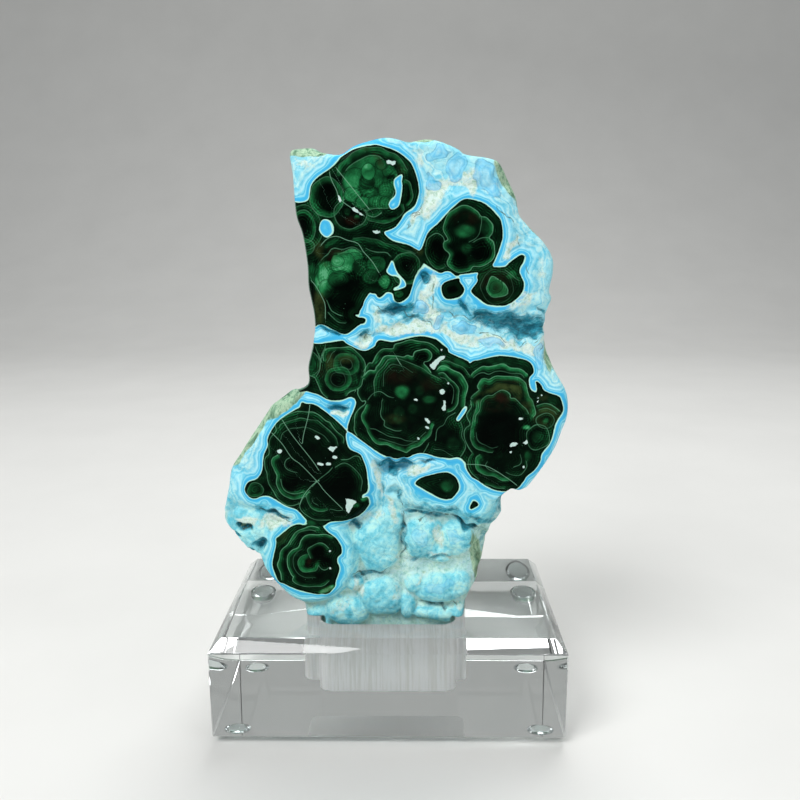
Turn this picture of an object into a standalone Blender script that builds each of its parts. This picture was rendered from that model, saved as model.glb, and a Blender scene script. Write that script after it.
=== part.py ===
"""A polished malachite and chrysocolla specimen, standing in a milled pocket of a clear acrylic block.

Six pieces: the specimen, the block and four clear bumper feet under the block's corners.
+X is to the right of the polished face, +Y goes away from it and +Z is up. The origin is on the
table, under the middle of the block. Lengths are in millimetres up to the mesh, which is in metres.

On the specimen a point is written (u, v): u is its X and v its Z. Its depth is how far it lies
behind the polished plane.
"""

import math

import bmesh
import bpy
from mathutils import Vector
from mathutils.geometry import delaunay_2d_cdt

MM = 0.001
GAP = 0.3  # between pieces that touch

# Acrylic block
BLOCK_WIDTH = 100.0
BLOCK_DEPTH = 62.0
BLOCK_HEIGHT = 29.0
BLOCK_CHAMFER = 3.2  # all round the top face

# Bumper feet
FOOT_DIAMETER = 8.0
FOOT_HEIGHT = 2.2
FOOT_FLAT_DIAMETER = 3.6  # the patch that meets the table
FOOT_INSET = 6.5  # from the block's edges to a foot's centre
FOOT_SIDES = 24

# Pocket milled into the block from above: narrow at the front, wide behind
POCKET_DEPTH = 19.3
POCKET_FRONT_Y = -19.5
POCKET_STEP_Y = -10.2
POCKET_BACK_Y = 10.0
POCKET_NARROW_X = (-20.1, 19.5)
POCKET_WIDE_X = (-25.0, 22.7)
POCKET_FRONT_RADIUS = 4.5
POCKET_BACK_RADIUS = 3.0
POCKET_STEP_RADIUS = 1.5

# Specimen
FACE_Y = -19.0  # the polished plane
THICKNESS = 33.0
FOOT_THICKNESS = 28.2
FOOT_WALL_CLEARANCE = 0.7
EDGE_RADIUS = 2.4  # where the face rolls over at the outline
EDGE_THICKNESS_SHARE = 0.72  # thickness at the outline, over the thickness in the middle
BACK_ROUNDING = 10.0
SINK_LOW = 5.0  # natural surface behind the polished plane, at the foot
SINK_HIGH = 1.3  # and in the upper part
LUMP_ROUNDING = 5.0

OUTLINE_STEP = 3.0
FRONT_STEP = 1.6
BACK_STEP = 4.4

BLOCK_BASE = FOOT_HEIGHT
BLOCK_TOP = BLOCK_BASE + BLOCK_HEIGHT
POCKET_FLOOR = BLOCK_TOP - POCKET_DEPTH
STONE_BASE = POCKET_FLOOR + GAP
STONE_FOOT_NARROW = (POCKET_NARROW_X[0] + FOOT_WALL_CLEARANCE, POCKET_NARROW_X[1] - FOOT_WALL_CLEARANCE)
STONE_FOOT_WIDE = (POCKET_WIDE_X[0] + FOOT_WALL_CLEARANCE, POCKET_WIDE_X[1] - FOOT_WALL_CLEARANCE)
STONE_STEP_DEPTH = POCKET_STEP_Y - FACE_Y + FOOT_WALL_CLEARANCE + 0.4

# Outline of the specimen, clockwise from its top left corner
OUTLINE = (
    (-24.7, 162.2), (-22.8, 163.6), (-19.0, 163.8), (-16.0, 162.4), (-11.5, 161.9), (-8.0, 163.9),
    (-4.0, 165.3), (0.0, 166.1), (3.0, 165.8), (6.5, 165.0), (10.5, 165.8), (15.0, 164.9),
    (19.0, 163.2), (21.0, 161.8), (26.3, 161.0), (29.8, 159.7), (32.5, 155.6), (34.6, 151.0),
    (35.4, 146.3), (38.5, 142.8), (42.0, 139.2), (44.4, 135.3), (44.7, 131.6), (43.8, 126.6),
    (44.5, 124.4), (43.2, 120.3), (43.0, 113.5), (44.9, 107.8), (46.3, 104.4), (49.0, 99.6),
    (49.8, 96.0), (49.6, 92.0), (48.3, 88.1), (46.5, 83.1), (43.3, 77.6), (39.6, 72.4),
    (37.2, 70.4), (34.2, 68.5), (32.8, 66.8), (32.5, 63.8), (31.2, 61.1), (29.4, 59.0),
    (28.5, 54.0), (28.4, 51.3), (27.1, 46.4), (25.1, 41.6), (23.2, 37.6),
    (STONE_FOOT_WIDE[1], 34.0), (STONE_FOOT_WIDE[1], 29.0), (STONE_FOOT_WIDE[1], 15.0),
    (STONE_FOOT_WIDE[1] - 2.5, STONE_BASE + 0.3), (8.0, STONE_BASE), (-8.0, STONE_BASE),
    (STONE_FOOT_WIDE[0] + 2.5, STONE_BASE + 0.3), (STONE_FOOT_WIDE[0], 15.0), (STONE_FOOT_WIDE[0], 29.0),
    (STONE_FOOT_WIDE[0], 33.5), (-26.6, 37.0), (-28.9, 39.3), (-32.7, 43.6),
    (-35.5, 47.7), (-37.0, 51.2), (-40.2, 52.7), (-43.6, 57.0), (-46.6, 60.8), (-47.2, 63.6),
    (-46.4, 66.5), (-45.0, 71.8), (-44.0, 77.1), (-41.0, 81.8), (-37.5, 87.2), (-33.4, 93.1),
    (-31.6, 95.5), (-27.0, 98.7), (-23.0, 100.3), (-21.3, 102.2), (-21.3, 106.5), (-19.8, 112.8),
    (-19.3, 120.0), (-20.6, 127.8), (-20.8, 134.0), (-21.8, 141.5), (-23.4, 147.0), (-23.9, 156.0),
)

# Polished malachite, flush with the plane: centre u, v, half sizes, turn in degrees
PLATEAUS = (
    (-8.0, 146.0, 16.5, 17.0, 0.0), (-8.0, 128.0, 13.5, 11.5, 0.0), (20.5, 140.5, 11.0, 10.0, 0.0),
    (30.0, 128.3, 7.5, 6.0, 20.0), (17.8, 127.5, 3.5, 3.0, 0.0), (-12.5, 106.0, 9.0, 8.5, 0.0),
    (6.0, 97.5, 18.0, 17.0, 0.0), (31.0, 90.0, 15.0, 19.5, 0.0), (42.0, 91.0, 7.0, 9.5, 0.0),
    (-21.5, 79.0, 16.5, 17.5, 0.0), (-36.0, 72.0, 4.5, 3.5, 0.0), (-23.0, 51.0, 11.5, 11.5, 0.0),
    (14.5, 72.7, 8.5, 5.5, 0.0), (24.4, 67.1, 2.5, 2.5, 0.0),
)

# Rounded lumps of the natural surface: centre u, v, half sizes, depth of the top
LUMPS = (
    (-4.8, 56.4, 7.2, 9.4, 0.4), (10.4, 58.2, 6.4, 6.8, 0.5), (20.4, 57.4, 6.2, 6.2, 0.7),
    (15.0, 43.8, 8.2, 5.8, 0.3), (-2.8, 40.6, 6.8, 6.2, 0.2), (12.4, 33.6, 7.4, 4.6, 0.8),
    (-13.8, 37.2, 6.4, 6.4, 0.9), (2.4, 60.5, 2.4, 7.0, 1.0), (3.2, 50.8, 2.8, 4.6, 1.0),
    (12.0, 51.4, 4.6, 2.2, 1.8), (20.4, 50.3, 4.0, 2.6, 1.8), (-40.6, 61.4, 6.4, 6.0, 0.6),
    (-31.5, 63.0, 6.0, 5.0, 0.3), (0.5, 70.0, 4.6, 7.6, 0.6), (24.8, 66.0, 7.4, 6.2, 0.2),
    (38.5, 123.2, 5.6, 3.4, 0.3), (26.5, 113.4, 5.0, 3.0, 0.3), (9.3, 122.8, 2.6, 2.4, 0.2),
    (24.0, 156.0, 7.0, 5.0, 0.4),
)

# Pits, grooves and ledges: centre u, v, half sizes, turn in degrees, depth
HOLLOWS = (
    (2.2, 121.6, 4.6, 2.4, 0.0, 3.4), (10.5, 130.5, 1.9, 1.8, 0.0, 1.6), (32.0, 118.8, 10.0, 3.0, -10.0, 4.6),
    (-14.5, 116.2, 5.0, 1.4, -15.0, 1.4), (-5.8, 114.6, 2.6, 1.6, 10.0, 1.6), (-13.0, 95.4, 3.8, 1.3, 0.0, 2.2),
    (2.4, 78.2, 6.6, 2.8, 0.0, 4.8), (2.6, 70.6, 1.6, 2.8, 0.0, 1.8), (12.0, 65.0, 7.6, 1.7, -11.0, 3.2),
    (22.8, 60.6, 4.6, 2.0, -32.0, 5.0), (-9.3, 60.6, 2.2, 1.7, 0.0, 3.0), (-5.4, 46.6, 5.0, 1.8, 9.0, 3.0),
    (4.9, 57.0, 1.3, 8.0, 6.0, 2.2), (7.2, 48.8, 2.4, 2.0, 0.0, 2.4), (-40.0, 60.8, 2.8, 1.9, -20.0, 2.6),
    (-35.7, 55.0, 3.0, 3.0, 0.0, 2.6), (-38.0, 93.0, 12.0, 6.5, 55.0, 6.0), (-27.0, 99.5, 5.0, 2.5, 35.0, 4.0),
    (34.5, 68.0, 5.5, 3.2, 35.0, 7.0), (28.0, 50.0, 3.4, 11.5, 8.0, 6.0), (33.5, 154.5, 4.5, 7.5, 30.0, 4.0),
    (45.0, 110.0, 2.6, 6.0, 0.0, 3.0), (-20.0, 163.8, 6.0, 2.2, 0.0, 2.6), (10.5, 166.0, 4.0, 1.8, 0.0, 1.6),
)

# Lumps of the natural back: centre u, v, half sizes, height
BACK_LUMPS = (
    (-8.0, 148.0, 11.0, 10.0, 2.6), (14.0, 150.0, 12.0, 9.0, 1.8), (28.0, 134.0, 10.0, 11.0, 2.4),
    (2.0, 128.0, 12.0, 10.0, 1.4), (20.0, 112.0, 12.0, 10.0, 2.8), (-6.0, 106.0, 10.0, 10.0, 2.0),
    (36.0, 92.0, 9.0, 12.0, 2.2), (12.0, 88.0, 13.0, 11.0, 1.6), (-20.0, 84.0, 12.0, 11.0, 2.4),
    (-32.0, 68.0, 9.0, 9.0, 2.2), (-2.0, 66.0, 12.0, 10.0, 2.6), (18.0, 58.0, 9.0, 10.0, 1.6),
    (-18.0, 52.0, 9.0, 9.0, 2.0),
)

# The side wall, from the front edge to the back: share of the way back, inset from the outline
SIDE_RINGS = ((0.0, 0.0), (0.22, 0.15), (0.5, 0.7), (0.76, 1.9), (0.92, 3.4), (1.0, 4.8))


def smoothstep(low, high, value):
    """0 below low, 1 above high and smooth between."""
    share = min(1.0, max(0.0, (value - low) / (high - low)))
    return share * share * (3.0 - 2.0 * share)


def ellipse_share(u, v, centre_u, centre_v, half_u, half_v, turn=0.0):
    """0 at an ellipse's centre and 1 on its edge."""
    cos_turn, sin_turn = math.cos(math.radians(turn)), math.sin(math.radians(turn))
    along = (u - centre_u) * cos_turn + (v - centre_v) * sin_turn
    across = (v - centre_v) * cos_turn - (u - centre_u) * sin_turn
    return math.hypot(along / half_u, across / half_v)


def evenly_spaced(points, step):
    """A smooth closed curve through the points, as points about a step apart."""
    count = len(points)
    dense = []
    for index in range(count):
        before, here, there, after = (points[(index + shift) % count] for shift in (-1, 0, 1, 2))
        for part in range(12):
            t = part / 12
            dense.append(tuple(
                0.5 * (2 * p1 + (p2 - p0) * t + (2 * p0 - 5 * p1 + 4 * p2 - p3) * t * t
                       + (3 * p1 - p0 - 3 * p2 + p3) * t ** 3)
                for p0, p1, p2, p3 in zip(before, here, there, after)
            ))
    lengths = [0.0]
    for start, end in zip(dense, dense[1:] + dense[:1]):
        lengths.append(lengths[-1] + math.dist(start, end))
    total = lengths[-1]
    spaced = []
    index = 0
    for number in range(round(total / step)):
        target = number * total / round(total / step)
        while lengths[index + 1] < target:
            index += 1
        share = (target - lengths[index]) / (lengths[index + 1] - lengths[index])
        start, end = dense[index], dense[(index + 1) % len(dense)]
        spaced.append(tuple(a + share * (b - a) for a, b in zip(start, end)))
    return spaced


def softened(loop, reach):
    """The closed loop averaged over a distance of about reach along it."""
    if reach < 0.2:
        return list(loop)
    span = max(1, round(2 * reach / OUTLINE_STEP))
    weights = [(shift, math.exp(-0.5 * (shift * OUTLINE_STEP / reach) ** 2)) for shift in range(-span, span + 1)]
    total = sum(weight for _, weight in weights)
    count = len(loop)
    return [
        tuple(sum(weight * loop[(index + shift) % count][axis] for shift, weight in weights) / total
              for axis in (0, 1))
        for index in range(count)
    ]


def inset_loop(loop, inset):
    """The clockwise loop moved inwards, its corners softened so that it never crosses itself."""
    soft = softened(loop, 1.4 * inset)
    moved = []
    for index, (u, v) in enumerate(soft):
        before, after = soft[index - 1], soft[(index + 1) % len(soft)]
        run_u, run_v = after[0] - before[0], after[1] - before[1]
        length = math.hypot(run_u, run_v)
        moved.append((u + inset * run_v / length, v - inset * run_u / length))
    return moved


def edge_distance(u, v, loop):
    """Distance from a point to a closed loop."""
    nearest = math.inf
    for (u0, v0), (u1, v1) in zip(loop, loop[1:] + loop[:1]):
        run_u, run_v = u1 - u0, v1 - v0
        share = ((u - u0) * run_u + (v - v0) * run_v) / (run_u * run_u + run_v * run_v)
        share = min(1.0, max(0.0, share))
        nearest = min(nearest, math.hypot(u - u0 - share * run_u, v - v0 - share * run_v))
    return nearest


def inside(u, v, loop):
    """Whether a point is inside a closed loop."""
    odd = False
    for (u0, v0), (u1, v1) in zip(loop, loop[1:] + loop[:1]):
        if (v0 > v) != (v1 > v) and u < u0 + (v - v0) / (v1 - v0) * (u1 - u0):
            odd = not odd
    return odd


def relief_depth(u, v):
    """Depth of the natural surface, from its plateaus, lumps and hollows."""
    away = min(
        (ellipse_share(u, v, *plateau) - 1.0) * min(plateau[2], plateau[3]) for plateau in PLATEAUS
    )
    sink = SINK_LOW + (SINK_HIGH - SINK_LOW) * smoothstep(60.0, 70.0, v)
    depth = sink * smoothstep(0.8, 4.5, away)
    for centre_u, centre_v, half_u, half_v, top in LUMPS:
        share = ellipse_share(u, v, centre_u, centre_v, half_u, half_v)
        if share < 1.0:
            depth = min(depth, top + LUMP_ROUNDING * (1.0 - math.sqrt(1.0 - share * share)))
    for *ellipse, deepest in HOLLOWS:
        share = ellipse_share(u, v, *ellipse)
        if share < 1.0:
            depth += deepest * (1.0 - share * share) ** 1.5
    return depth


def foot_depth(u, v, depth):
    """Depth where the specimen goes down into the pocket: clear of the wall, and stepped at both sides."""
    below = 1.0 - smoothstep(BLOCK_TOP + 0.4, BLOCK_TOP + 2.4, v)
    depth += 1.0 * below + 1.6 * (1.0 - smoothstep(STONE_BASE + 13.0, BLOCK_TOP - 2.0, v))
    outside = max(STONE_FOOT_NARROW[0] - u, u - STONE_FOOT_NARROW[1])
    return max(depth, STONE_STEP_DEPTH * smoothstep(-1.2, -0.1, outside) * below)


def front_depth(u, v, outline):
    """Depth of the front surface, rolled over at the outline."""
    near = min(1.0, edge_distance(u, v, outline) / EDGE_RADIUS)
    rolled = EDGE_RADIUS * (1.0 - math.sqrt(1.0 - (1.0 - near) ** 2))
    return foot_depth(u, v, relief_depth(u, v)) + 0.8 * rolled


def thickness(u, v):
    """Depth of the back surface, away from the outline."""
    thick = FOOT_THICKNESS + (THICKNESS - FOOT_THICKNESS) * smoothstep(BLOCK_TOP + 2.0, BLOCK_TOP + 16.0, v)
    for centre_u, centre_v, half_u, half_v, height in BACK_LUMPS:
        share = ellipse_share(u, v, centre_u, centre_v, half_u, half_v)
        if share < 1.0:
            thick += height * (1.0 - share * share) ** 1.5
    return thick


def back_depth(u, v, back_loop):
    """Depth of the back surface, rounded off towards the side wall."""
    thick = thickness(u, v)
    near = min(1.0, edge_distance(u, v, back_loop) / BACK_ROUNDING)
    rounded = math.sqrt(1.0 - (1.0 - near) ** 2)
    return thick * (EDGE_THICKNESS_SHARE + (1.0 - EDGE_THICKNESS_SHARE) * rounded)


def filling_points(loop, step, margin, wanted):
    """Points of a triangular lattice inside a loop, with margin to it, where wanted(u, v, row, column)."""
    low_u, high_u = min(p[0] for p in loop), max(p[0] for p in loop)
    low_v, high_v = min(p[1] for p in loop), max(p[1] for p in loop)
    points = []
    for row in range(math.ceil((high_v - low_v) / (0.866 * step))):
        v = low_v + row * 0.866 * step
        for column in range(math.ceil((high_u - low_u) / step)):
            u = low_u + (column + 0.5 * (row % 2)) * step
            if inside(u, v, loop) and edge_distance(u, v, loop) > margin and wanted(u, v, row, column):
                points.append((u, v))
    return points


def filled(loop, points):
    """Triangles over a loop and the points inside it, as index triples into loop + points."""
    flat = [Vector(point) for point in loop + points]
    made = delaunay_2d_cdt(flat, [], [list(range(len(loop)))], 1, 1e-6)
    first_of = [origins[0] for origins in made[3]]
    return [tuple(first_of[corner] for corner in face) for face in made[2]]


def mesh_object(name, vertices, faces, material):
    """An object from millimetre vertices, with its faces turned outwards."""
    mesh = bpy.data.meshes.new(name)
    shape = bmesh.new()
    corners = [shape.verts.new([MM * value for value in vertex]) for vertex in vertices]
    for face in faces:
        shape.faces.new([corners[index] for index in face])
    bmesh.ops.recalc_face_normals(shape, faces=shape.faces)
    shape.to_mesh(mesh)
    shape.free()
    mesh.materials.append(material)
    made = bpy.data.objects.new(name, mesh)
    bpy.context.scene.collection.objects.link(made)
    return made


def principled(name, colour, roughness, transmission=0.0, ior=1.5):
    """A Principled material."""
    material = bpy.data.materials.new(name)
    material.use_nodes = True
    shader = material.node_tree.nodes["Principled BSDF"]
    shader.inputs["Base Color"].default_value = (*colour, 1.0)
    shader.inputs["Roughness"].default_value = roughness
    shader.inputs["Metallic"].default_value = 0.0
    shader.inputs["Transmission Weight"].default_value = transmission
    shader.inputs["IOR"].default_value = ior
    return material


def make_specimen():
    """The stone: front relief, side wall and rounded back over one outline."""
    outline = evenly_spaced(OUTLINE, OUTLINE_STEP)
    back_loop = inset_loop(outline, SIDE_RINGS[-1][1])
    flat_front = {}

    def needed(u, v, row, column):
        """Close points on the relief, and every other one on the polished plane."""
        shaped = relief_depth(u, v) > 0.05 or v < BLOCK_TOP + 4.0
        return shaped or (row % 2 == 0 and (column + row // 2) % 2 == 0)

    front_points = filling_points(outline, FRONT_STEP, 0.6 * FRONT_STEP, needed)
    back_points = filling_points(back_loop, BACK_STEP, 0.5 * BACK_STEP, lambda *_: True)

    vertices = []
    rings = []
    for share, inset in SIDE_RINGS:
        rings.append(len(vertices))
        ring = inset_loop(outline, inset)
        for (edge_u, edge_v), (u, v) in zip(outline, ring):
            if (edge_u, edge_v) not in flat_front:
                flat_front[edge_u, edge_v] = front_depth(edge_u, edge_v, outline)
            start = flat_front[edge_u, edge_v]
            end = EDGE_THICKNESS_SHARE * thickness(u, v)
            vertices.append((u, start + share * (end - start), v))
    count = len(outline)
    faces = []
    for lower, upper in zip(rings, rings[1:]):
        for index in range(count):
            after = (index + 1) % count
            faces.append((lower + index, lower + after, upper + after, upper + index))

    front_start = len(vertices)
    vertices += [(u, front_depth(u, v, outline), v) for u, v in front_points]
    for face in filled(outline, front_points):
        faces.append(tuple(c if c < count else front_start + c - count for c in face))
    back_start = len(vertices)
    vertices += [(u, back_depth(u, v, back_loop), v) for u, v in back_points]
    for face in filled(back_loop, back_points):
        faces.append(tuple(rings[-1] + c if c < count else back_start + c - count for c in face))

    stone = mesh_object("specimen", vertices, faces, principled("specimen", (0.10, 0.42, 0.48), 0.35))
    stone.location.y = MM * FACE_Y
    stone.data.shade_smooth()
    stone.data.set_sharp_from_angle(angle=math.radians(50))


def rounded_polygon(corners, steps=6):
    """A clockwise polygon from (x, y, radius) corners, each cut by an arc."""
    points = []
    for index, (x, y, radius) in enumerate(corners):
        corner = Vector((x, y))
        to_before = (Vector(corners[index - 1][:2]) - corner).normalized()
        to_after = (Vector(corners[(index + 1) % len(corners)][:2]) - corner).normalized()
        start, end = corner + radius * to_before, corner + radius * to_after
        centre = start + end - corner
        for step in range(steps + 1):
            turn = 0.5 * math.pi * step / steps
            point = centre + (start - centre) * math.cos(turn) + (end - centre) * math.sin(turn)
            points.append((point.x, point.y))
    return points


def make_block():
    """The acrylic block, its top edges chamfered, with the pocket milled into it."""
    half_x, half_y = BLOCK_WIDTH / 2, BLOCK_DEPTH / 2
    shoulder = BLOCK_HEIGHT - BLOCK_CHAMFER
    vertices = []
    for level, inset in ((0.0, 0.0), (shoulder, 0.0), (BLOCK_HEIGHT, BLOCK_CHAMFER)):
        for side_x, side_y in ((-1, -1), (1, -1), (1, 1), (-1, 1)):
            vertices.append((side_x * (half_x - inset), side_y * (half_y - inset), level))
    faces = [(0, 1, 2, 3), (8, 9, 10, 11)]
    for lower in (0, 4):
        for index in range(4):
            after = (index + 1) % 4
            faces.append((lower + index, lower + after, lower + 4 + after, lower + 4 + index))
    acrylic = principled("acrylic", (0.95, 0.97, 0.98), 0.03, transmission=1.0, ior=1.49)
    block = mesh_object("stand_block", vertices, faces, acrylic)
    block.location.z = MM * BLOCK_BASE

    pocket = rounded_polygon((
        (POCKET_NARROW_X[0], POCKET_FRONT_Y, POCKET_FRONT_RADIUS),
        (POCKET_NARROW_X[0], POCKET_STEP_Y, POCKET_STEP_RADIUS),
        (POCKET_WIDE_X[0], POCKET_STEP_Y, POCKET_BACK_RADIUS),
        (POCKET_WIDE_X[0], POCKET_BACK_Y, POCKET_BACK_RADIUS),
        (POCKET_WIDE_X[1], POCKET_BACK_Y, POCKET_BACK_RADIUS),
        (POCKET_WIDE_X[1], POCKET_STEP_Y, 0.9 * (POCKET_WIDE_X[1] - POCKET_NARROW_X[1] - POCKET_STEP_RADIUS)),
        (POCKET_NARROW_X[1], POCKET_STEP_Y, POCKET_STEP_RADIUS),
        (POCKET_NARROW_X[1], POCKET_FRONT_Y, POCKET_FRONT_RADIUS),
    ))
    count = len(pocket)
    levels = (POCKET_FLOOR, BLOCK_TOP + 5.0)
    cutter_vertices = [(x, y, level) for level in levels for x, y in pocket]
    cutter_faces = [tuple(range(count)), tuple(range(count, 2 * count))]
    for index in range(count):
        after = (index + 1) % count
        cutter_faces.append((index, after, count + after, count + index))
    cutter = mesh_object("pocket_cutter", cutter_vertices, cutter_faces, acrylic)
    cutter.hide_render = True
    cutter.display_type = "WIRE"
    cut = block.modifiers.new("pocket", "BOOLEAN")
    cut.operation = "DIFFERENCE"
    cut.solver = "EXACT"
    cut.object = cutter


def make_feet():
    """Four domed bumpers, each a turned profile with a flat patch where it meets the table."""
    radius, flat = FOOT_DIAMETER / 2, FOOT_FLAT_DIAMETER / 2
    top = FOOT_HEIGHT - GAP
    profile = [(flat + (radius - flat) * math.sin(turn), top * (1.0 - math.cos(turn)) * 0.82)
               for turn in (0.5 * math.pi * step / 5 for step in range(6))]
    profile += [(radius, top)]
    vertices = []
    for distance, height in profile:
        for side in range(FOOT_SIDES):
            turn = 2 * math.pi * side / FOOT_SIDES
            vertices.append((distance * math.cos(turn), distance * math.sin(turn), height))
    faces = [tuple(range(FOOT_SIDES)), tuple(range(len(vertices) - FOOT_SIDES, len(vertices)))]
    for ring in range(len(profile) - 1):
        for side in range(FOOT_SIDES):
            here, after = ring * FOOT_SIDES + side, ring * FOOT_SIDES + (side + 1) % FOOT_SIDES
            faces.append((here, after, after + FOOT_SIDES, here + FOOT_SIDES))
    clear = principled("bumper", (0.93, 0.94, 0.94), 0.08, transmission=1.0, ior=1.5)
    first = mesh_object("foot_front_left", vertices, faces, clear)
    first.data.shade_smooth()
    first.data.set_sharp_from_angle(angle=math.radians(40))
    across, along = BLOCK_WIDTH / 2 - FOOT_INSET, BLOCK_DEPTH / 2 - FOOT_INSET
    first.location = (-MM * across, -MM * along, 0.0)
    for name, side_x, side_y in (("front_right", 1, -1), ("back_left", -1, 1), ("back_right", 1, 1)):
        foot = bpy.data.objects.new("foot_" + name, first.data)
        foot.location = (side_x * MM * across, side_y * MM * along, 0.0)
        bpy.context.scene.collection.objects.link(foot)


def main():
    """Clear the scene and build the six pieces."""
    for thing in list(bpy.data.objects):
        bpy.data.objects.remove(thing)
    make_specimen()
    make_block()
    make_feet()


main()
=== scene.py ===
"""A polished malachite and chrysocolla specimen, standing in the milled pocket of a clear acrylic block.

On the stone a point is written (u, v): u is its X and v its Z, in millimetres. Its depth is how far
it lies behind the polished plane. The malachite is drawn as growth lines, each with a soft band beside it,
and as bubbles laid one over another.
"""

import logging
import math
from dataclasses import dataclass, field
from enum import Enum
from typing import Iterable, Optional, Sequence, Union

import bmesh
import bpy
import numpy as np
from mathutils import Matrix, Vector
from mathutils.geometry import delaunay_2d_cdt


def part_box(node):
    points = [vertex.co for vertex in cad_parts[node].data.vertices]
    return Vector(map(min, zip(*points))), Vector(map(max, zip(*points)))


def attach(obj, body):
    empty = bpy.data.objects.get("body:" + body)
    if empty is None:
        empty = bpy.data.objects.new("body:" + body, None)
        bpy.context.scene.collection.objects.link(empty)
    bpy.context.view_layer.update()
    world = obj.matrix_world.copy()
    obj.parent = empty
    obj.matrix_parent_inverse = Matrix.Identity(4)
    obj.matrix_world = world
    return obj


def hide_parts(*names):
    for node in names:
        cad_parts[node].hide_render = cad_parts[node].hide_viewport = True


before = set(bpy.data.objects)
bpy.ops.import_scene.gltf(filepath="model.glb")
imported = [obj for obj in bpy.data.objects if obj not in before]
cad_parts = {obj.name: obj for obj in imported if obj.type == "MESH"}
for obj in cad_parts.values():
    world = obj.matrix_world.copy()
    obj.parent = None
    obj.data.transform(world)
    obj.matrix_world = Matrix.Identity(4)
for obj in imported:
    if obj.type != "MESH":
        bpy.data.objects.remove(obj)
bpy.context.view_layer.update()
log = logging.getLogger("specimen")

MM = 0.001
FACE_Y = -19.0
BLOCK_WIDTH = 100.0
BLOCK_DEPTH = 62.0
FOOT_HEIGHT = 2.2
FOOT_INSET = 6.5  # from the block's sides to the middle of a foot
BLOCK_TOP = FOOT_HEIGHT + 29.0
POCKET_FLOOR = BLOCK_TOP - 19.3
POCKET_RADIUS = 4.5
NARROW = (-20.1, 19.5)  # sides of the pocket's front part
FAR = 8.0  # distances to loops on the stone are measured as far as this
NEAR = 3.0  # and distances to lines as far as this
SPAN_POINTS = 12  # points of a smooth curve between two of its given ones
CURL = (0.8, 2.4, 51)  # how the natural ground's small forms wander: distance, size, seed

Array = np.ndarray
Points = Sequence[tuple]

# Outline of the stone, clockwise from its top left corner
OUTLINE = (
    (-24.7, 162.2), (-22.8, 163.6), (-19, 163.8), (-16, 162.4), (-11.5, 161.9), (-8, 163.9), (-4, 165.3),
    (0, 166.1), (3, 165.8), (6.5, 165), (10.5, 165.8), (15, 164.9), (19, 163.2), (21, 161.8), (26.3, 161),
    (29.8, 159.7), (32.5, 155.6), (34.6, 151), (35.4, 146.3), (38.5, 142.8), (42, 139.2), (44.4, 135.3),
    (44.7, 131.6), (43.8, 126.6), (44.5, 124.4), (43.2, 120.3), (43, 113.5), (44.9, 107.8), (46.3, 104.4),
    (49, 99.6), (49.8, 96), (49.6, 92), (48.3, 88.1), (46.5, 83.1), (43.3, 77.6), (39.6, 72.4), (37.2, 70.4),
    (34.2, 68.5), (32.8, 66.8), (32.5, 63.8), (31.2, 61.1), (29.4, 59), (28.5, 54), (28.4, 51.3),
    (27.1, 46.4), (25.1, 41.6), (23.2, 37.6), (22, 34), (22, 29), (22, 15), (19.5, 12.5), (8, 12.2),
    (-8, 12.2), (-21.8, 12.5), (-24.3, 15), (-24.3, 29), (-24.3, 33.5), (-26.6, 37), (-28.9, 39.3),
    (-32.7, 43.6), (-35.5, 47.7), (-37, 51.2), (-40.2, 52.7), (-43.6, 57), (-46.6, 60.8), (-47.2, 63.6),
    (-46.4, 66.5), (-45, 71.8), (-44, 77.1), (-41, 81.8), (-37.5, 87.2), (-33.4, 93.1), (-31.6, 95.5),
    (-27, 98.7), (-23, 100.3), (-21.3, 102.2), (-21.3, 106.5), (-19.8, 112.8), (-19.3, 120), (-20.6, 127.8),
    (-20.8, 134), (-21.8, 141.5), (-23.4, 147), (-23.9, 156),
)

# Polished malachite, flush with the plane: centre u, v, half sizes. Here and below an oval that isn't
# upright has its turn last, in degrees.
PLATEAUS = (
    (-8, 146, 16.5, 17), (-8, 128, 13.5, 11.5), (20.5, 140.5, 11, 10), (30, 128.3, 7.5, 6, 20),
    (17.8, 127.5, 3.5, 3), (-12.5, 106, 9, 8.5), (6, 97.5, 18, 17), (31, 90, 15, 19.5), (42, 91, 7, 9.5),
    (-21.5, 79, 16.5, 17.5), (-36, 72, 4.5, 3.5), (-23, 51, 11.5, 11.5), (14.5, 72.7, 8.5, 5.5),
    (24.4, 67.1, 2.5, 2.5),
)

# Rounded lumps of the natural surface: centre u, v, half sizes, depth of the top
LUMPS = (
    (-3.2, 54.4, 7, 9.6, 0.1), (-0.2, 61, 4.6, 6.6, 0.6), (9.6, 56.6, 6.2, 7.4, 0.1),
    (19.4, 56.4, 5.8, 6.2, 0.3), (14.4, 53.6, 6, 5.2, 0.8), (15.1, 40.8, 7.8, 5, 0.1),
    (19.6, 42.4, 5.4, 4.4, 0.3), (-2.2, 37.9, 7, 6.6, 0.1), (13.5, 32.6, 7, 2.8, 0.5),
    (-12.4, 33.6, 7.4, 5, 0.3), (5.6, 35.2, 3.2, 4.6, 0.9), (-22, 30, 6, 6, 0.8), (20.6, 31.6, 4, 4, 0.6),
    (-9.6, 42.6, 3.6, 3.6, 0.6), (7.4, 42.6, 2.8, 3.2, 1.2), (-37.5, 58.5, 11.5, 9.5, 0.4),
    (2, 72.2, 2.2, 3.2, 0.4), (-3.4, 71, 2.6, 6.4, 0.5), (6.6, 70.6, 2.4, 6, 0.7), (13.6, 67.6, 8, 4.6, 0.1),
    (24.8, 65, 6.6, 5.8, 0.1), (38.8, 124.2, 6.4, 3.6, 0.1), (9.4, 122.4, 2.5, 2.4, 0), (24, 156, 7, 5, 0.4),
    (14, 118.9, 2, 1.7, 0.1), (20.8, 117, 3, 2, 0.2), (28.4, 112.9, 4.4, 1.6, 0.2),
)

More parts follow.
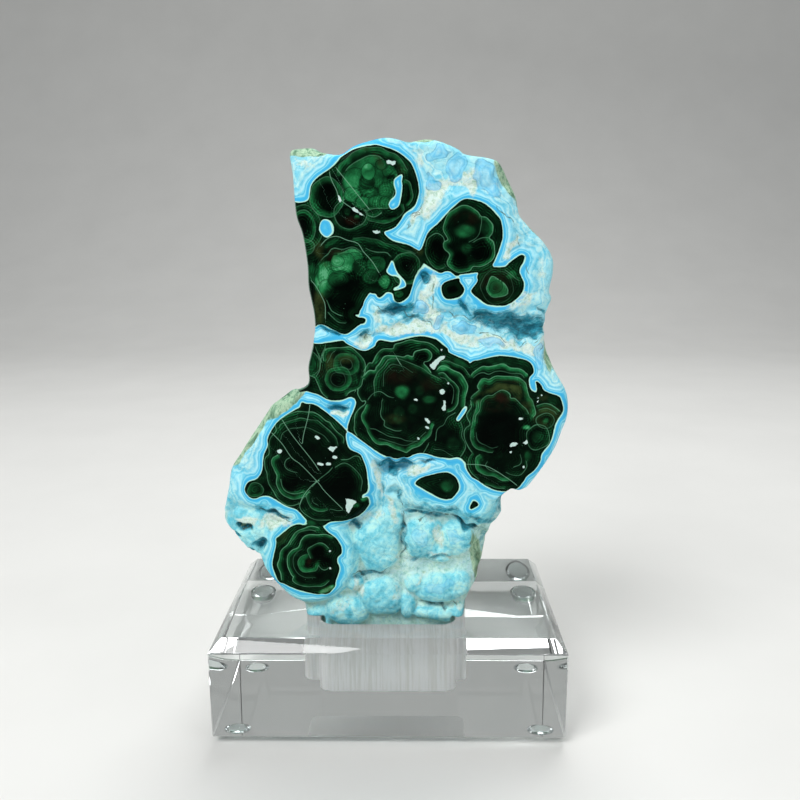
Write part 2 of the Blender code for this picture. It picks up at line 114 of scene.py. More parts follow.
# Pits, grooves and ledges: centre u, v, half sizes, depth
HOLLOWS = (
    (2.2, 121.6, 4.6, 2.4, 3.4), (10.5, 130.5, 1.9, 1.8, 1.6), (33.4, 118.2, 11, 3.3, 3.6, -7),
    (-14.5, 116.2, 5, 1.4, 1.4, -15), (-5.8, 114.6, 2.6, 1.6, 1.6, 10), (-13, 95.4, 3.8, 1.3, 2.2),
    (2.4, 78.2, 6.6, 2.8, 4.8), (2.6, 70.6, 1.6, 2.8, 1.8), (12, 64, 8, 1.2, 1.6, -13),
    (22.6, 60.4, 5, 1.2, 3.4, -30), (-9.3, 60.8, 2, 1.2, 2), (-5.4, 45.2, 4.6, 1, 1, 5),
    (4.4, 56, 1, 8, 0.8, 2), (4.6, 49, 2, 2.4, 0.6), (-40.9, 60.2, 2.6, 1.6, 3.2, -14),
    (-36.4, 54.9, 2.4, 1.8, 2.8), (-32, 64.6, 5.2, 1, 1.8, -12), (-43.8, 57.4, 1.5, 0.9, 1.6, -40),
    (-39.4, 52.8, 1.6, 0.8, 1.4, -30), (-38, 93, 12, 6.5, 6, 55), (-27, 99.5, 5, 2.5, 4, 35),
    (34.5, 68, 5.5, 3.2, 7, 35), (28, 50, 3.4, 11.5, 6, 8), (33.5, 154.5, 4.5, 7.5, 4, 30),
    (45, 110, 2.6, 6, 3), (-20, 163.8, 6, 2.2, 2.6), (10.5, 166, 4, 1.8, 1.6), (-0.8, 72, 0.9, 2.4, 1),
    (3.1, 70.2, 0.9, 1.2, 1), (13, 35.6, 6.4, 0.8, 1.4, -6), (14.4, 55.6, 0.8, 5, 0.8, 16),
    (14.6, 50.4, 5, 1, 1, 12), (11.2, 80.1, 3.4, 0.8, 1.4, -8), (38.6, 115.6, 5.6, 1.5, 2.4, 16),
    (42.6, 120.6, 3.8, 1, 1.2, -40), (26.4, 121, 3.6, 1.1, 1.4, -8), (21.4, 122, 2.8, 1.2, 1.6, -30),
)

# Lumps of the natural back: centre u, v, half sizes, height
BACK_LUMPS = (
    (-8, 148, 11, 10, 2.6), (14, 150, 12, 9, 1.8), (28, 134, 10, 11, 2.4), (2, 128, 12, 10, 1.4),
    (20, 112, 12, 10, 2.8), (-6, 106, 10, 10, 2), (36, 92, 9, 12, 2.2), (12, 88, 13, 11, 1.6),
    (-20, 84, 12, 11, 2.4), (-32, 68, 9, 9, 2.2), (-2, 66, 12, 10, 2.6), (18, 58, 9, 10, 1.6),
    (-18, 52, 9, 9, 2),
)

# Edges of the malachite islands. Where one reaches the sawn left side it runs on past the outline.
ISLANDS = (
    # upper left
    ((-27, 150.5), (-23.6, 150), (-22, 149.8), (-20.5, 150.1), (-19.6, 151), (-19, 154), (-17.3, 156.1),
     (-14, 158.3), (-12, 160.1), (-11, 161.3), (-7.5, 163.2), (-3, 164.1), (-1, 163.9), (3, 162.6),
     (6.5, 160), (8.2, 156.5), (8.9, 152.5), (8, 149.3), (6.8, 148), (5.3, 147), (3.2, 144), (1.5, 142.9),
     (-0.3, 142.1), (2, 140), (6, 138.9), (8.8, 137.4), (9.6, 137), (10.2, 134.3), (8, 131), (6.4, 126),
     (4.4, 124.1), (3, 123.9), (2.3, 124.6), (2, 126), (1.4, 126.5), (0.2, 126.5), (-1.3, 125.2),
     (-2, 125.3), (-2.7, 126.2), (-3.5, 126.2), (-4.2, 126.4), (-5.6, 124.4), (-6.1, 123), (-6.9, 121.6),
     (-7.2, 120.6), (-8.4, 120.7), (-7.2, 119.9), (-6.3, 119.9), (-5.5, 119.6), (-5.4, 118.9), (-5.9, 118.2),
     (-7, 118), (-10, 115.7), (-11.1, 115.4), (-13.1, 116), (-16.4, 117.8), (-18.2, 117.9), (-19.4, 117.1),
     (-23, 116.8), (-27, 130)),
    # upper right
    ((8.8, 137.2), (9.6, 138), (11.3, 142), (14, 144.5), (17.4, 148.1), (20.5, 150.4), (23.5, 150.2),
     (26.5, 148.9), (29.6, 145.9), (30.4, 144.3), (30.7, 140.4), (29, 135.2), (28.2, 133.6), (28.6, 132.6),
     (25.2, 131.8), (20.1, 131.2), (19.4, 130.8), (18.5, 130.8), (17.4, 131.75), (16, 132), (14.8, 131.6),
     (13.5, 132), (10.2, 134.2), (8.9, 135.6)),
    # right
    ((28.4, 133), (31.5, 133.1), (32.8, 134.3), (35.5, 136.1), (36.6, 135.9), (36.5, 134.7), (35.3, 132),
     (36.6, 128.9), (36.2, 126.4), (34.2, 124.2), (31.5, 122.9), (27.8, 123.1), (26.2, 123.7), (23, 126.2),
     (22.8, 127.1), (24.4, 129.4), (24.2, 130.5), (24.9, 131.8), (26.5, 132.3)),
    # eye
    ((14.8, 127.3), (15.7, 129.1), (19.4, 130.2), (19.6, 129.4), (20.9, 127.1), (19.4, 125.2), (16, 124.8)),
    # middle
    ((-24, 112.6), (-19.5, 112.8), (-17.3, 112.9), (-12.9, 113.6), (-11.4, 113.7), (-10.6, 112.9),
     (-7.2, 111.2), (-5.2, 111), (-3.1, 112.1), (-2.5, 113.2), (-1.5, 113.8), (1.2, 113.3), (2.8, 113.5),
     (8.5, 114.8), (12.3, 114.3), (14.1, 113.5), (16.6, 111.4), (17.1, 110.3), (21.9, 108.1), (22.6, 107.4),
     (23.5, 108), (25.1, 108.3), (30.5, 109.4), (36, 108.7), (39, 107.4), (39.9, 105), (38.7, 103.2),
     (39, 100.5), (40.4, 99.4), (40.9, 100), (40.5, 102.4), (41.2, 102.2), (42.1, 101.2), (43, 99.8),
     (46.5, 98.4), (47.4, 97.6), (48.2, 94.9), (47.9, 93.5), (46.3, 90.6), (45.1, 85.6), (43.3, 82.9),
     (42.6, 81.5), (42.4, 79.9), (41, 77.5), (38.7, 75.4), (37.9, 74), (36.2, 72), (33.5, 71.2),
     (30.3, 71.5), (27.6, 72.75), (24.9, 74.6), (23.5, 75.4), (22, 77.9), (21.7, 79.5), (19.9, 81),
     (17.4, 80.8), (14.4, 81), (11, 82.1), (8.2, 82.1), (5.3, 80.9), (1.6, 80.8), (-0.2, 81.3), (-3.6, 83.3),
     (-9.5, 87.9), (-10.6, 88.5), (-10.5, 90.8), (-8.6, 95.4), (-8.4, 97), (-9, 97.9), (-10.2, 98.1),
     (-12.5, 97.3), (-15.6, 97.4), (-19, 99), (-21.5, 99.6), (-25, 100.5)),
    # lower left
    ((-23.2, 96.8), (-22, 96.4), (-19.1, 95.8), (-14.3, 92), (-11.5, 89.2), (-11, 88.3), (-11.3, 87.6),
     (-11, 84.9), (-10, 83.3), (-7.5, 82), (-6.8, 80.8), (-5.75, 77.4), (-5.4, 71.7), (-6.9, 70.1),
     (-7.1, 69.2), (-5.6, 69.45), (-5.2, 68.1), (-5.4, 66.5), (-7.2, 63.9), (-9.7, 62.4), (-15, 62.3),
     (-16.8, 61.9), (-18.2, 60.9), (-19.5, 61.2), (-23, 61.7), (-22.7, 62.4), (-23.4, 63.3), (-25.5, 65.7),
     (-28.6, 67), (-33, 69.7), (-35.5, 69.7), (-36.6, 69.2), (-37.7, 69.1), (-38.9, 69.7), (-40, 71.7),
     (-38.9, 73.9), (-36.4, 74.9), (-34.9, 77.2), (-34.3, 81.3), (-33, 84.5), (-33, 86), (-32.5, 87.6),
     (-29.8, 91.5), (-25, 94.7), (-23.8, 95.4)),
    # bottom
    ((-25, 61.5), (-27.3, 60.8), (-30.7, 58), (-31.7, 57.2), (-31.8, 55.2), (-33, 49.8), (-32.4, 46.4),
     (-31.4, 43.9), (-30, 43.4), (-26.4, 41.7), (-20.9, 40.2), (-19.3, 40.3), (-18, 40.2), (-16.8, 40.7),
     (-15.2, 42.7), (-15.1, 44.1), (-14, 47.3), (-13.9, 48.6), (-14.5, 50.2), (-14.2, 51.6), (-13.25, 52.7),
     (-13.25, 54.8), (-14.7, 57.3), (-17, 59.2), (-19, 61.3), (-21.5, 61.6), (-23.9, 61.25)),
    # small oval
    ((7.9, 73.7), (9.8, 75.3), (14.8, 76.6), (17.4, 76.5), (19.4, 74.7), (20, 72), (18.5, 69.6), (17.4, 69),
     (14.8, 69.2), (8.9, 72.6)),
    # speck
    ((24, 68.4), (25.1, 67.9), (25.4, 67), (23.5, 65.9), (23.1, 66.5)),
)

# Blue chrysocolla enclosed in the malachite
INCLUSIONS = (
    ((4.3, 156.8), (4.7, 156.3), (4.5, 155), (4.6, 153.5), (3.9, 149.3), (2.8, 148.2), (1.7, 148),
     (1, 148.9), (1.3, 150), (2.8, 152), (2.4, 155.2)),
    ((-15.5, 145.6), (-14.3, 145.2), (-13.5, 144), (-13.3, 142.7), (-13.9, 141.6), (-15.2, 140.9),
     (-16.5, 141.6), (-17.2, 143), (-17, 144.4), (-16.4, 145.4)),
    ((1.7, 135), (1, 133.6), (0.3, 132), (1.5, 130.9), (2.6, 130.8), (3.6, 130.2), (3.9, 129.2),
     (3.4, 128.2), (2.2, 127.6), (2.4, 127), (5, 127.8), (5.5, 128.5), (5, 129.8), (3.2, 131.8),
     (2.1, 134.6)),
    ((22, 95.4), (21.2, 95.4), (19.4, 92.6), (19.1, 91.6), (19.9, 91.5), (21.7, 94)),
)

# Growth lines of the malachite that don't close. Each is (line, band, width, points): how bright the line
# is, how bright the soft band beside it is, and the band's width in mm, negative on the line's right.
ARCS = (
    # upper left island
    (0.25, 0.5, -1.5, ((-12.6, 157.6), (-11.2, 159.6), (-6.8, 162.8), (-1, 163.3), (3.6, 161.1),
     (5.9, 157.8))),
    (0.6, 0.35, 1.2, ((-4.9, 146.9), (-3.8, 146.3), (-2.6, 146.2), (-0.5, 147.1))),
    (0.2, 0.45, -1, ((4.8, 149.6), (4.9, 147.6), (3.6, 145.9), (1.5, 144.7), (-1, 144.4), (-3.5, 144.9),
     (-5, 145.8))),
    (0.3, 0.5, -1.3, ((5.2, 155.6), (6.6, 154.6), (7.3, 152.6), (7.1, 150.6), (6.2, 148.9))),
    (0.15, 0.4, -1.1, ((-8.5, 140.6), (-3, 140.4), (5.5, 137.8), (7.8, 136.6))),
    (0.4, 0.16, -0.8, ((-5, 138.2), (-3.4, 137.5), (0, 137), (1.2, 135.8))),
    (0.4, 0.2, -0.8, ((-17.5, 133.5), (-16.5, 135.5), (-15, 136.5), (-13.5, 137.8), (-8.5, 138.2),
     (-6.4, 137.2))),
    (0.35, 0.95, 1.9, ((-14, 133.2), (-16, 132.8), (-17.4, 131.2), (-17.8, 129), (-17.4, 127.2),
     (-16.2, 126))),
    (0.35, 0.8, -1.7, ((-13.2, 136), (-11.5, 137.2), (-9, 137.8), (-6.8, 137), (-5.8, 135.5))),
    (0.45, 0.5, 0.9, ((-16.4, 126.6), (-14.9, 122.3), (-13.2, 120.8), (-11.6, 120.4))),
    (0.35, 0.35, 0.8, ((-15.4, 121.4), (-14, 119.6), (-12.5, 118.7), (-10.8, 118.5))),
    (0.38, 0.1, 0.6, ((-11.5, 131.2), (-12.5, 130.4), (-13.3, 128.9), (-13.5, 127))),
    # upper right island
    (0.28, 0.2, -0.8, ((25, 145.8), (25.2, 144), (24.8, 142), (23.6, 140.4), (21.8, 139.3))),
    (0.3, 0.2, 0.8, ((27, 140.6), (25.6, 140.5), (24, 140), (22.8, 139.2))),
    (0.45, 0, 1, ((10.7, 138.3), (11.3, 140.5), (13, 141.7), (14.8, 141), (15.4, 139.9))),
    (0.3, 0.38, 0.9, ((10.6, 138.3), (10.8, 136), (11.8, 134), (13.6, 132.8), (15.8, 133.2))),
    # right island
    (0.38, 0.22, 1, ((31.5, 132.5), (33.5, 130.8), (35.5, 129.5))),
    # middle island, left part
    (0.65, 0.4, -1, ((-17, 108.3), (-17, 110.2), (-16, 111.5), (-10.5, 111.8), (-8.2, 110.9), (-5.6, 107),
     (-7, 101.4), (-10, 99.6), (-10.8, 98.6))),
    (0.6, 0.35, 0.9, ((-21, 104.2), (-19.4, 103.6), (-18.5, 101.2), (-17.3, 99), (-16.2, 98.1))),
    (0.45, 0.25, 0.8, ((-19.2, 112.2), (-18.2, 110), (-17.5, 108))),
    (0.42, 0, 0.8, ((-16.5, 112.8), (-17.9, 108), (-18.2, 105.6), (-19, 103.6))),
    (0.38, 0, 0.8, ((-13.6, 110.9), (-14.7, 110.4), (-15.3, 109), (-16.2, 107.6))),
    # middle island, centre
    (0.6, 0.42, -1, ((-6.2, 105.2), (-4.5, 107.3), (-3.5, 107.4), (-2.3, 110), (-1, 111.2), (1.8, 111.5),
     (2.2, 112.3), (3.3, 113), (7.7, 113.7), (12, 112.7), (13.4, 111.8), (14.2, 110.6))),
    (0.85, 0.5, -1, ((-6.2, 103.4), (-5, 105.2), (-4, 105.6), (-2.8, 105.5), (-2.5, 106.7), (-0.7, 109),
     (1, 109.5), (4.6, 109.3), (6, 109.8), (7.5, 109.1), (7.6, 110.1), (8.3, 111), (11, 111.2),
     (12.2, 110.2), (12.3, 108.8), (11.3, 107.8), (10.2, 107.8), (10.2, 107), (12.3, 104.9))),
    (0.35, 0.32, -1.2, ((-3.4, 98.5), (-3, 103.7), (0, 107.8), (2, 108.7), (6.3, 107.8), (14.8, 103))),
    (0.2, 0.14, -1, ((-1, 101), (-0.8, 104), (0, 106), (1.7, 107.3), (4.4, 106.6), (7, 105))),
    (0.65, 0.3, 0.9, ((-7.7, 101), (-7.7, 99), (-6.8, 97.1), (-5.9, 97.4), (-5.9, 96.3), (-7, 95.4),
     (-8.6, 92.9), (-9.2, 89.9), (-8.2, 87.4))),
    (0.5, 0.62, 1, ((-5.6, 96), (-5.9, 94.7), (-6.7, 93.3), (-6.8, 92), (-5.6, 89.5), (-5.2, 88.1),
     (-3.4, 85.4), (-1.5, 84.5), (0.3, 84.5), (4.6, 82.6), (5.7, 82.6), (8.5, 84.2), (11.9, 87.4),
     (13, 90.4))),
    (0.4, 0.05, 0.8, ((-5.2, 97.4), (-3.7, 99.3), (-2.3, 99.7), (-0.7, 99.2), (2, 97.6))),
    (0.34, 0.1, 0.8, ((-4.7, 89.3), (-2.7, 89.2), (0, 87.3), (3.7, 86.5), (5.3, 85.7), (7, 85.4),
     (8.6, 85.6))),
    (0.26, 0.1, 0.8, ((-2, 86.3), (0.4, 85.8), (4.8, 84.4), (7, 84.8), (10.6, 88))),
    (0.36, 0.22, 0.9, ((-0.6, 97.6), (-1.3, 96.5), (-1.3, 92.9), (-0.6, 91.7), (-0.7, 90.4), (0.3, 89.3),
     (2, 88.7), (4.2, 88.8))),
    (0.85, 0.6, -1.2, ((13.7, 105.8), (14.7, 106.6), (15.8, 106.6), (20, 104.3), (22, 102), (22.2, 100.3),
     (21, 95.2))),
    (0.45, 0.42, -0.9, ((15, 107.9), (16.7, 107.9), (20.7, 106.2), (22.9, 104))),
    (0.5, 0.48, -0.8, ((14.3, 104.7), (15.7, 104.8), (17.4, 102.8), (19, 101.7), (19.8, 100), (19.2, 95.7),
     (17.7, 94.3), (16.6, 94))),
    (0.28, 0.15, -0.7, ((14.8, 103.5), (16, 103.2), (16.6, 102), (18, 100.6), (18.3, 98.4), (17.8, 96.2))),
    (0.5, 0.1, 0.7, ((18.9, 93.8), (17.3, 92.8), (15.6, 90.4), (14.4, 89.7), (13.2, 85.9))),
    (0.38, 0.28, -1, ((20, 91.2), (20.8, 89.3), (20.7, 87.3), (21.5, 85.7), (21.7, 83.7), (21, 82),
     (20.2, 81.2))),
    (0.6, 0.25, 0.8, ((23.3, 97.2), (23.1, 95.3), (22, 93.2), (22.1, 91.9), (22.8, 90.4), (21.8, 89.4),
     (21.4, 87.9), (22.4, 84.1), (23.7, 82.2))),
    (0.4, 0, 0.7, ((11.6, 85.2), (11, 84.3), (10.5, 83.3), (10.1, 82.4))),
    (0.26, 0, 0.7, ((12.8, 83.8), (15, 83.1), (18, 81.5))),
    # middle island, right part
    (0.7, 0.62, -1, ((23.1, 104.1), (23.6, 105), (26, 106.4), (27.6, 106.2), (30.2, 107.1), (31.9, 107),
     (33.3, 106.4), (35, 106.1), (38.3, 104.4))),
    (0.32, 0.05, -0.8, ((23.6, 103.4), (24.8, 104.3), (26.2, 104.7), (27.9, 104.4), (30.5, 105.4),
     (36.2, 104.2), (37.4, 103.2))),
    (0.65, 0.6, -1.3, ((25, 100), (24.6, 101), (25.5, 102.9), (26.7, 103.4), (27.9, 103), (30.7, 104.1),
     (34.8, 103.6), (37.4, 102.2), (38.2, 101.1), (39.1, 98.1), (40, 96.7), (40.7, 93.4), (40, 92.3))),
    (0.5, 0.45, -0.9, ((22.9, 95.5), (23.4, 97.7), (24.2, 99.1), (25.1, 99.9))),
    (0.5, 0.35, 1, ((38.8, 93.4), (38.1, 94.8), (36.2, 96.7), (34.8, 97.5), (33.7, 97.5), (33.6, 98.6),
     (32.6, 99.6), (31.2, 99.8), (29, 98.6), (27.6, 98.7), (25.8, 97.2), (25.4, 94.6), (24.4, 92.9),
     (24, 91))),
    (0.35, 0.5, 1.1, ((24.8, 96.9), (23.1, 89.1), (23.7, 85.1), (24.9, 83.5), (26.8, 82.7), (29.3, 82.7))),
    (0.2, 0.12, 0.8, ((24.6, 88.6), (24.8, 86.4), (26.2, 84.6), (28.4, 83.8), (30.8, 84))),
    (0.5, 0.38, 0.8, ((23.8, 81.9), (22.7, 81), (22.3, 79.7), (22.7, 77.9), (23.7, 76.3), (25.4, 74.9))),
    (0.4, 0.58, 1.2, ((25.9, 81.6), (24.6, 80.4), (24.7, 78.5), (25.8, 76.9), (29.9, 75.3), (32.1, 74.4),
     (34, 74.2))),
    (0.3, 0.2, 0.9, ((28, 80), (27.2, 78.8), (28.6, 77.4), (31, 76.8))),
    (0.4, 0.42, 0.8, ((26.8, 73.3), (28.7, 72.7), (30.6, 72), (33, 72))),
    (0.36, 0.22, 0.8, ((33, 76.9), (34.6, 76), (36.5, 75.7), (37.8, 76.5), (38.6, 78.4), (38.4, 80.4))),
    (0.36, 0.16, 0.7, ((35.2, 78.4), (36.5, 79.1), (37, 80.6), (36.6, 82))),
    (0.62, 0.45, -0.8, ((40.9, 95.6), (42.8, 96.2), (44.9, 96), (46.5, 95), (47.4, 93.9))),
    (0.3, 0.3, -0.8, ((41.5, 94.6), (43.7, 94.9), (45.9, 94.2), (46.8, 93))),
    # lower left island
    (0.58, 0.3, 0.8, ((-11.7, 85.3), (-12, 87), (-14.7, 89.3), (-15.7, 90.8), (-17, 91.7), (-19.3, 93.8),
     (-21.3, 94.2), (-26, 93.8), (-29.3, 92), (-30.7, 90.2), (-30.5, 88.8), (-32.5, 86.3), (-32.8, 82),
     (-33.7, 81.2), (-34.2, 79.8), (-34, 78), (-33.3, 76.3), (-33.2, 74.7), (-31.7, 70.3), (-28.7, 67.4),
     (-27, 66.9), (-24.8, 67.5))),
    (0.35, 0.34, -0.8, ((-29.6, 89.6), (-28.7, 91), (-24.3, 92.3), (-20, 91.8), (-18.3, 91), (-15.3, 88.2),
     (-14, 86.6), (-13.6, 84.6))),
    (0.28, 0.18, -0.8, ((-29.4, 86), (-28.4, 88.4), (-24, 89.8), (-21.6, 89.4), (-17.4, 87.2), (-16, 85.4))),
    (0.6, 0.5, 1.1, ((-30.3, 82), (-31.6, 80.9), (-32, 79.3), (-31.6, 77.3), (-31, 76), (-31.2, 73.6),
     (-30.4, 71.4), (-28.7, 69.7), (-26.2, 68.9), (-23.8, 69.5), (-22.3, 71))),
    (0.4, 0.12, 0.7, ((-27, 81), (-28.3, 80), (-28.4, 78.4), (-27, 77.2), (-25.2, 76.8))),
    (0.48, 0.42, 0.8, ((-30, 75), (-29.6, 72.6), (-28, 70.9), (-25.6, 70.4), (-23.4, 71.3))),
    (0.5, 0.2, 0.8, ((-22.2, 71.6), (-24.6, 67.4), (-23.7, 65), (-22, 63.4), (-19.4, 62.7), (-16, 62.9))),
    (0.3, 0.48, 0.9, ((-22.8, 70.4), (-22.5, 68), (-21.4, 66.2), (-19.3, 65.4), (-17, 65.8))),
    (0.26, 0.14, 0.7, ((-21.2, 69.4), (-20.8, 67.8), (-19.4, 66.9))),
    (0.45, 0.12, -0.7, ((-21.5, 72.4), (-19.3, 74.3), (-17.7, 75.4), (-15.2, 78))),
    (0.4, 0.26, -0.9, ((-14.6, 77.9), (-11.8, 79.2), (-9.4, 78), (-7.9, 76.2), (-7, 73.8), (-7.4, 71.2))),
    (0.55, 0.2, -0.8, ((-12.8, 80.1), (-11.3, 80.3), (-9, 81.6), (-7.7, 81.1), (-7.1, 79.9))),
    (0.36, 0.1, 0.8, ((-16.6, 66), (-14.6, 65.6), (-12.6, 65.8))),
    # bottom island
    (0.8, 0.5, -1, ((-30.6, 44.4), (-31.4, 49.1), (-30.7, 52.7), (-29.8, 54.3), (-28.5, 55.4), (-26.8, 58.2),
     (-23.8, 60.2), (-21.6, 60.7), (-19.3, 60.6))),
    (0.4, 0.1, -0.7, ((-27.6, 55.4), (-27.3, 56.5), (-24.8, 59), (-22.8, 59.6), (-20.4, 59.6))),
    (0.85, 0.5, -1, ((-27.3, 45.7), (-28.2, 46.8), (-29, 50.2), (-27.5, 53.2), (-25.2, 54.6), (-24.8, 56.4),
     (-22.7, 58.2), (-19.1, 58.6), (-15.4, 57.6))),
    (0.6, 0.42, 0.9, ((-27.3, 46), (-27.3, 44.5), (-25, 42.9), (-20, 42.4), (-16.6, 44.4))),
    (0.45, 0.42, -0.9, ((-21.9, 51.3), (-22.6, 53), (-22.4, 54.3), (-19.8, 55.8), (-18, 55.3), (-16.8, 54))),
    (0.3, 0.6, 1.6, ((-23.2, 52.3), (-24.8, 51.8), (-25.6, 50.5), (-25.6, 49), (-24.8, 47.7), (-23.3, 47),
     (-21.5, 47.1), (-20.3, 48), (-19.8, 49))),
    (0.45, 0.22, 0.9, ((-19.8, 49), (-19, 48), (-17.8, 47.7), (-16.8, 48.4))),
    (0.2, 0.2, 1, ((-24, 54), (-26, 53), (-27, 51), (-27, 48.6), (-25.8, 46.6), (-23.6, 45.4), (-21, 45.2))),
)

# Growth lines that close: (line, band, width, points), the band inside the line
LOOPS = (
    (0.35, 0.5, 9, ((-10.3, 157.1), (-6.7, 160.5), (-2.2, 161.4), (-0.5, 160.9), (2.4, 158.4), (3.2, 156.9),
     (2.6, 154.6), (2.4, 152.4), (1.2, 148.7), (-0.5, 148.1), (-2, 148.4), (-3.8, 148.2), (-4.9, 147.7),
     (-6.7, 148.6), (-8.8, 149.8), (-10.7, 153.6))),
    (0.6, 0.48, 1.1, ((15.2, 143), (16.5, 146.5), (19, 148.5), (21.5, 149), (24, 147.5), (25, 145.8),
     (26.5, 145.7), (28, 144), (28.2, 142), (27.1, 140.6), (28.2, 139.8), (28.9, 138), (28.5, 135.5),
     (27, 134), (25, 133.2), (23.1, 133.4), (22.4, 132.3), (20, 131.7), (17.8, 132.4), (16.4, 134),
     (16.9, 136.2), (15.6, 138), (15.4, 139.8), (16.4, 140.4))),
    (0.65, 0.62, 9, ((27.6, 130), (29, 130.3), (31.5, 128.4), (32.3, 127), (31.8, 125.8), (29, 125.3),
     (27.6, 126), (26.8, 127.5))),
)

# Round growth lines: (line, band, width, u, v, half sizes)
RINGS = (
    (0.3, 0.5, 1.3, -15, 151.2, 4.4, 5), (0.35, 0.36, -0.9, -9.2, 146.9, 4.3, 3.7),
    (0.25, 0.42, 0.9, 5.4, 132.9, 3.7, 4.2), (0.25, 0.45, 0.9, -21.5, 143.8, 3.4, 4),
    (0.2, 0.3, 0.8, -21.5, 143.4, 5.2, 5.8), (0.25, 0.45, 0.9, -21.5, 138.6, 2.8, 2.4),
    (0.14, 0.16, 0.8, 29.4, 127.9, 4.3, 4.3), (0.16, 0, 0.5, -10.8, 107.3, 1.6, 1.6),
    (0.12, 0.46, 1.2, -10.8, 107.3, 3.4, 3), (0.16, 0.52, 1.2, -13.1, 103.1, 3.5, 3.3),
    (0.1, 0.1, 0.6, -13.1, 103.1, 1.9, 1.9), (0.48, 0.3, 0.8, 41.6, 86.8, 3.2, 3.5),
    (0.34, 0.25, 0.8, 43.5, 91.4, 2.6, 2.2), (0.3, 0.4, 0.9, -37, 71.7, 2.4, 2.2),
    (0.25, 0.3, 0.8, -20.6, 107.4, 2.6, 3.2),
)

# Discs and bubbles, each laid over those before it: centre u, v, half sizes, brightness in the middle
# and at the edge
DISCS = (
    (-7.6, 154.6, 3.3, 3.9, 0.64, 0.46), (-4.2, 152.2, 2.8, 2.6, 0.36, 0.24),
    (-2, 156.2, 2.1, 2.6, 0.5, 0.32), (0.3, 152.9, 2, 1.9, 0.5, 0.36), (-8.3, 151.6, 2.3, 2, 0.62, 0.5),
    (-5.6, 149.9, 2, 1.5, 0.64, 0.42), (-2.3, 150.1, 2, 1.5, 0.5, 0.36), (0.2, 149.8, 1.6, 1.4, 0.46, 0.32),
    (1.3, 157.6, 1.8, 1.7, 0.44, 0.36), (-0.6, 159.3, 1.7, 1.4, 0.46, 0.38),
    (-4.6, 155.2, 1.8, 2.1, 0.28, 0.22), (-4.3, 157.4, 1.8, 2.1, 0.56, 0.72),
    (-14.8, 131.4, 3.1, 3.6, 0.62, 0.42), (-15.6, 127.4, 2.4, 2.6, 0.6, 0.4),
    (-8, 134.6, 2.5, 2.3, 0.5, 0.4), (-11, 134, 3.2, 2.9, 0.74, 0.52), (-12.2, 130, 2.6, 2.4, 0.48, 0.3),
    (-12.6, 134.9, 1.7, 1.6, 0.8, 0.62), (-6.3, 133, 2.4, 2.3, 0.2, 0.26), (-2.2, 134, 2.5, 2.4, 0.3, 0.4),
    (-4, 130.6, 2.1, 2, 0.26, 0.34), (-0.3, 129.2, 1.9, 1.8, 0.6, 0.34), (3.5, 126.2, 1.4, 1.2, 0.3, 0.4),
    (-9.8, 147.5, 1, 0.9, 0.6, 0.3), (-7.3, 146.1, 0.9, 0.8, 0.6, 0.3), (29.3, 127.8, 1.7, 1.6, 0.3, 0.5),
)

# Light and dark patches of the malachite: centre u, v, half sizes, amount
GLOWS = (
    (-16.6, 130.2, 1.9, 4.2, 0.85, -8), (-9.8, 136.6, 3.6, 1.2, 0.6, 6), (-4.2, 158.7, 1.2, 0.9, 0.9),
    (-9.2, 154, 1, 3.4, 0.72, 20), (21, 142.3, 2.6, 1.9, 0.46), (26.5, 142.9, 1.7, 1.7, 0.32),
    (21.3, 137.8, 1.4, 1.3, 0.3), (-8.7, 103.2, 1.1, 1.9, 0.28), (-8.2, 106.6, 1, 1.8, 0.4),
    (4.2, 99.5, 2, 2, 0.55), (9, 99.8, 1.5, 1.5, 0.22), (11.8, 97.5, 1.9, 1.2, 0.42),
    (3.3, 94, 1.6, 1.6, 0.24), (2.8, 91.8, 1.4, 1.2, 0.28), (7.3, 94.9, 1.6, 1.5, 0.24),
    (-4.4, 101, 1.4, 1.4, 0.16), (18.3, 85, 2, 2, 0.2), (15.6, 106.2, 1.6, 0.9, 0.8, -8),
    (31.5, 107.9, 8, 1.2, 0.26, -2), (41.5, 86.9, 1.6, 1.6, 0.36), (43.5, 91.3, 0.9, 0.8, 0.5),
    (45, 97.2, 2.4, 1.4, 0.22, -20), (39, 81.6, 1.2, 1.6, 0.34), (38.2, 89.2, 0.9, 0.6, 0.9),
    (16.9, 72.8, 1.9, 2.1, 0.42), (12.4, 73, 2, 1.6, 0.13), (-24, 50, 0.9, 0.9, 0.45),
    (-30.4, 57, 1.6, 2.6, 0.24, -40), (-22, 61.6, 2, 0.9, 0.4), (-17.6, 41.5, 2.4, 0.7, 1, 24),
    (-37.4, 71.9, 1.4, 1.3, 0.3), (-36, 74, 3, 1.2, 0.24, 30), (-9.2, 67, 1.6, 0.7, 0.5),
    (-6.3, 69.1, 1, 0.7, 0.7, 20), (-20.4, 107.4, 1.4, 2.4, 0.3), (20, 107.4, 2.6, 1, 0.36, -30),
    (33.4, 131, 1.6, 1, 0.4, 35), (-16.4, 143.6, 1.2, 4.6, 0.18, 20), (-19.6, 131.8, 1.6, 2.6, 0.3),
    (-14, 139.4, 2.6, 0.9, 0.34, 30),
)
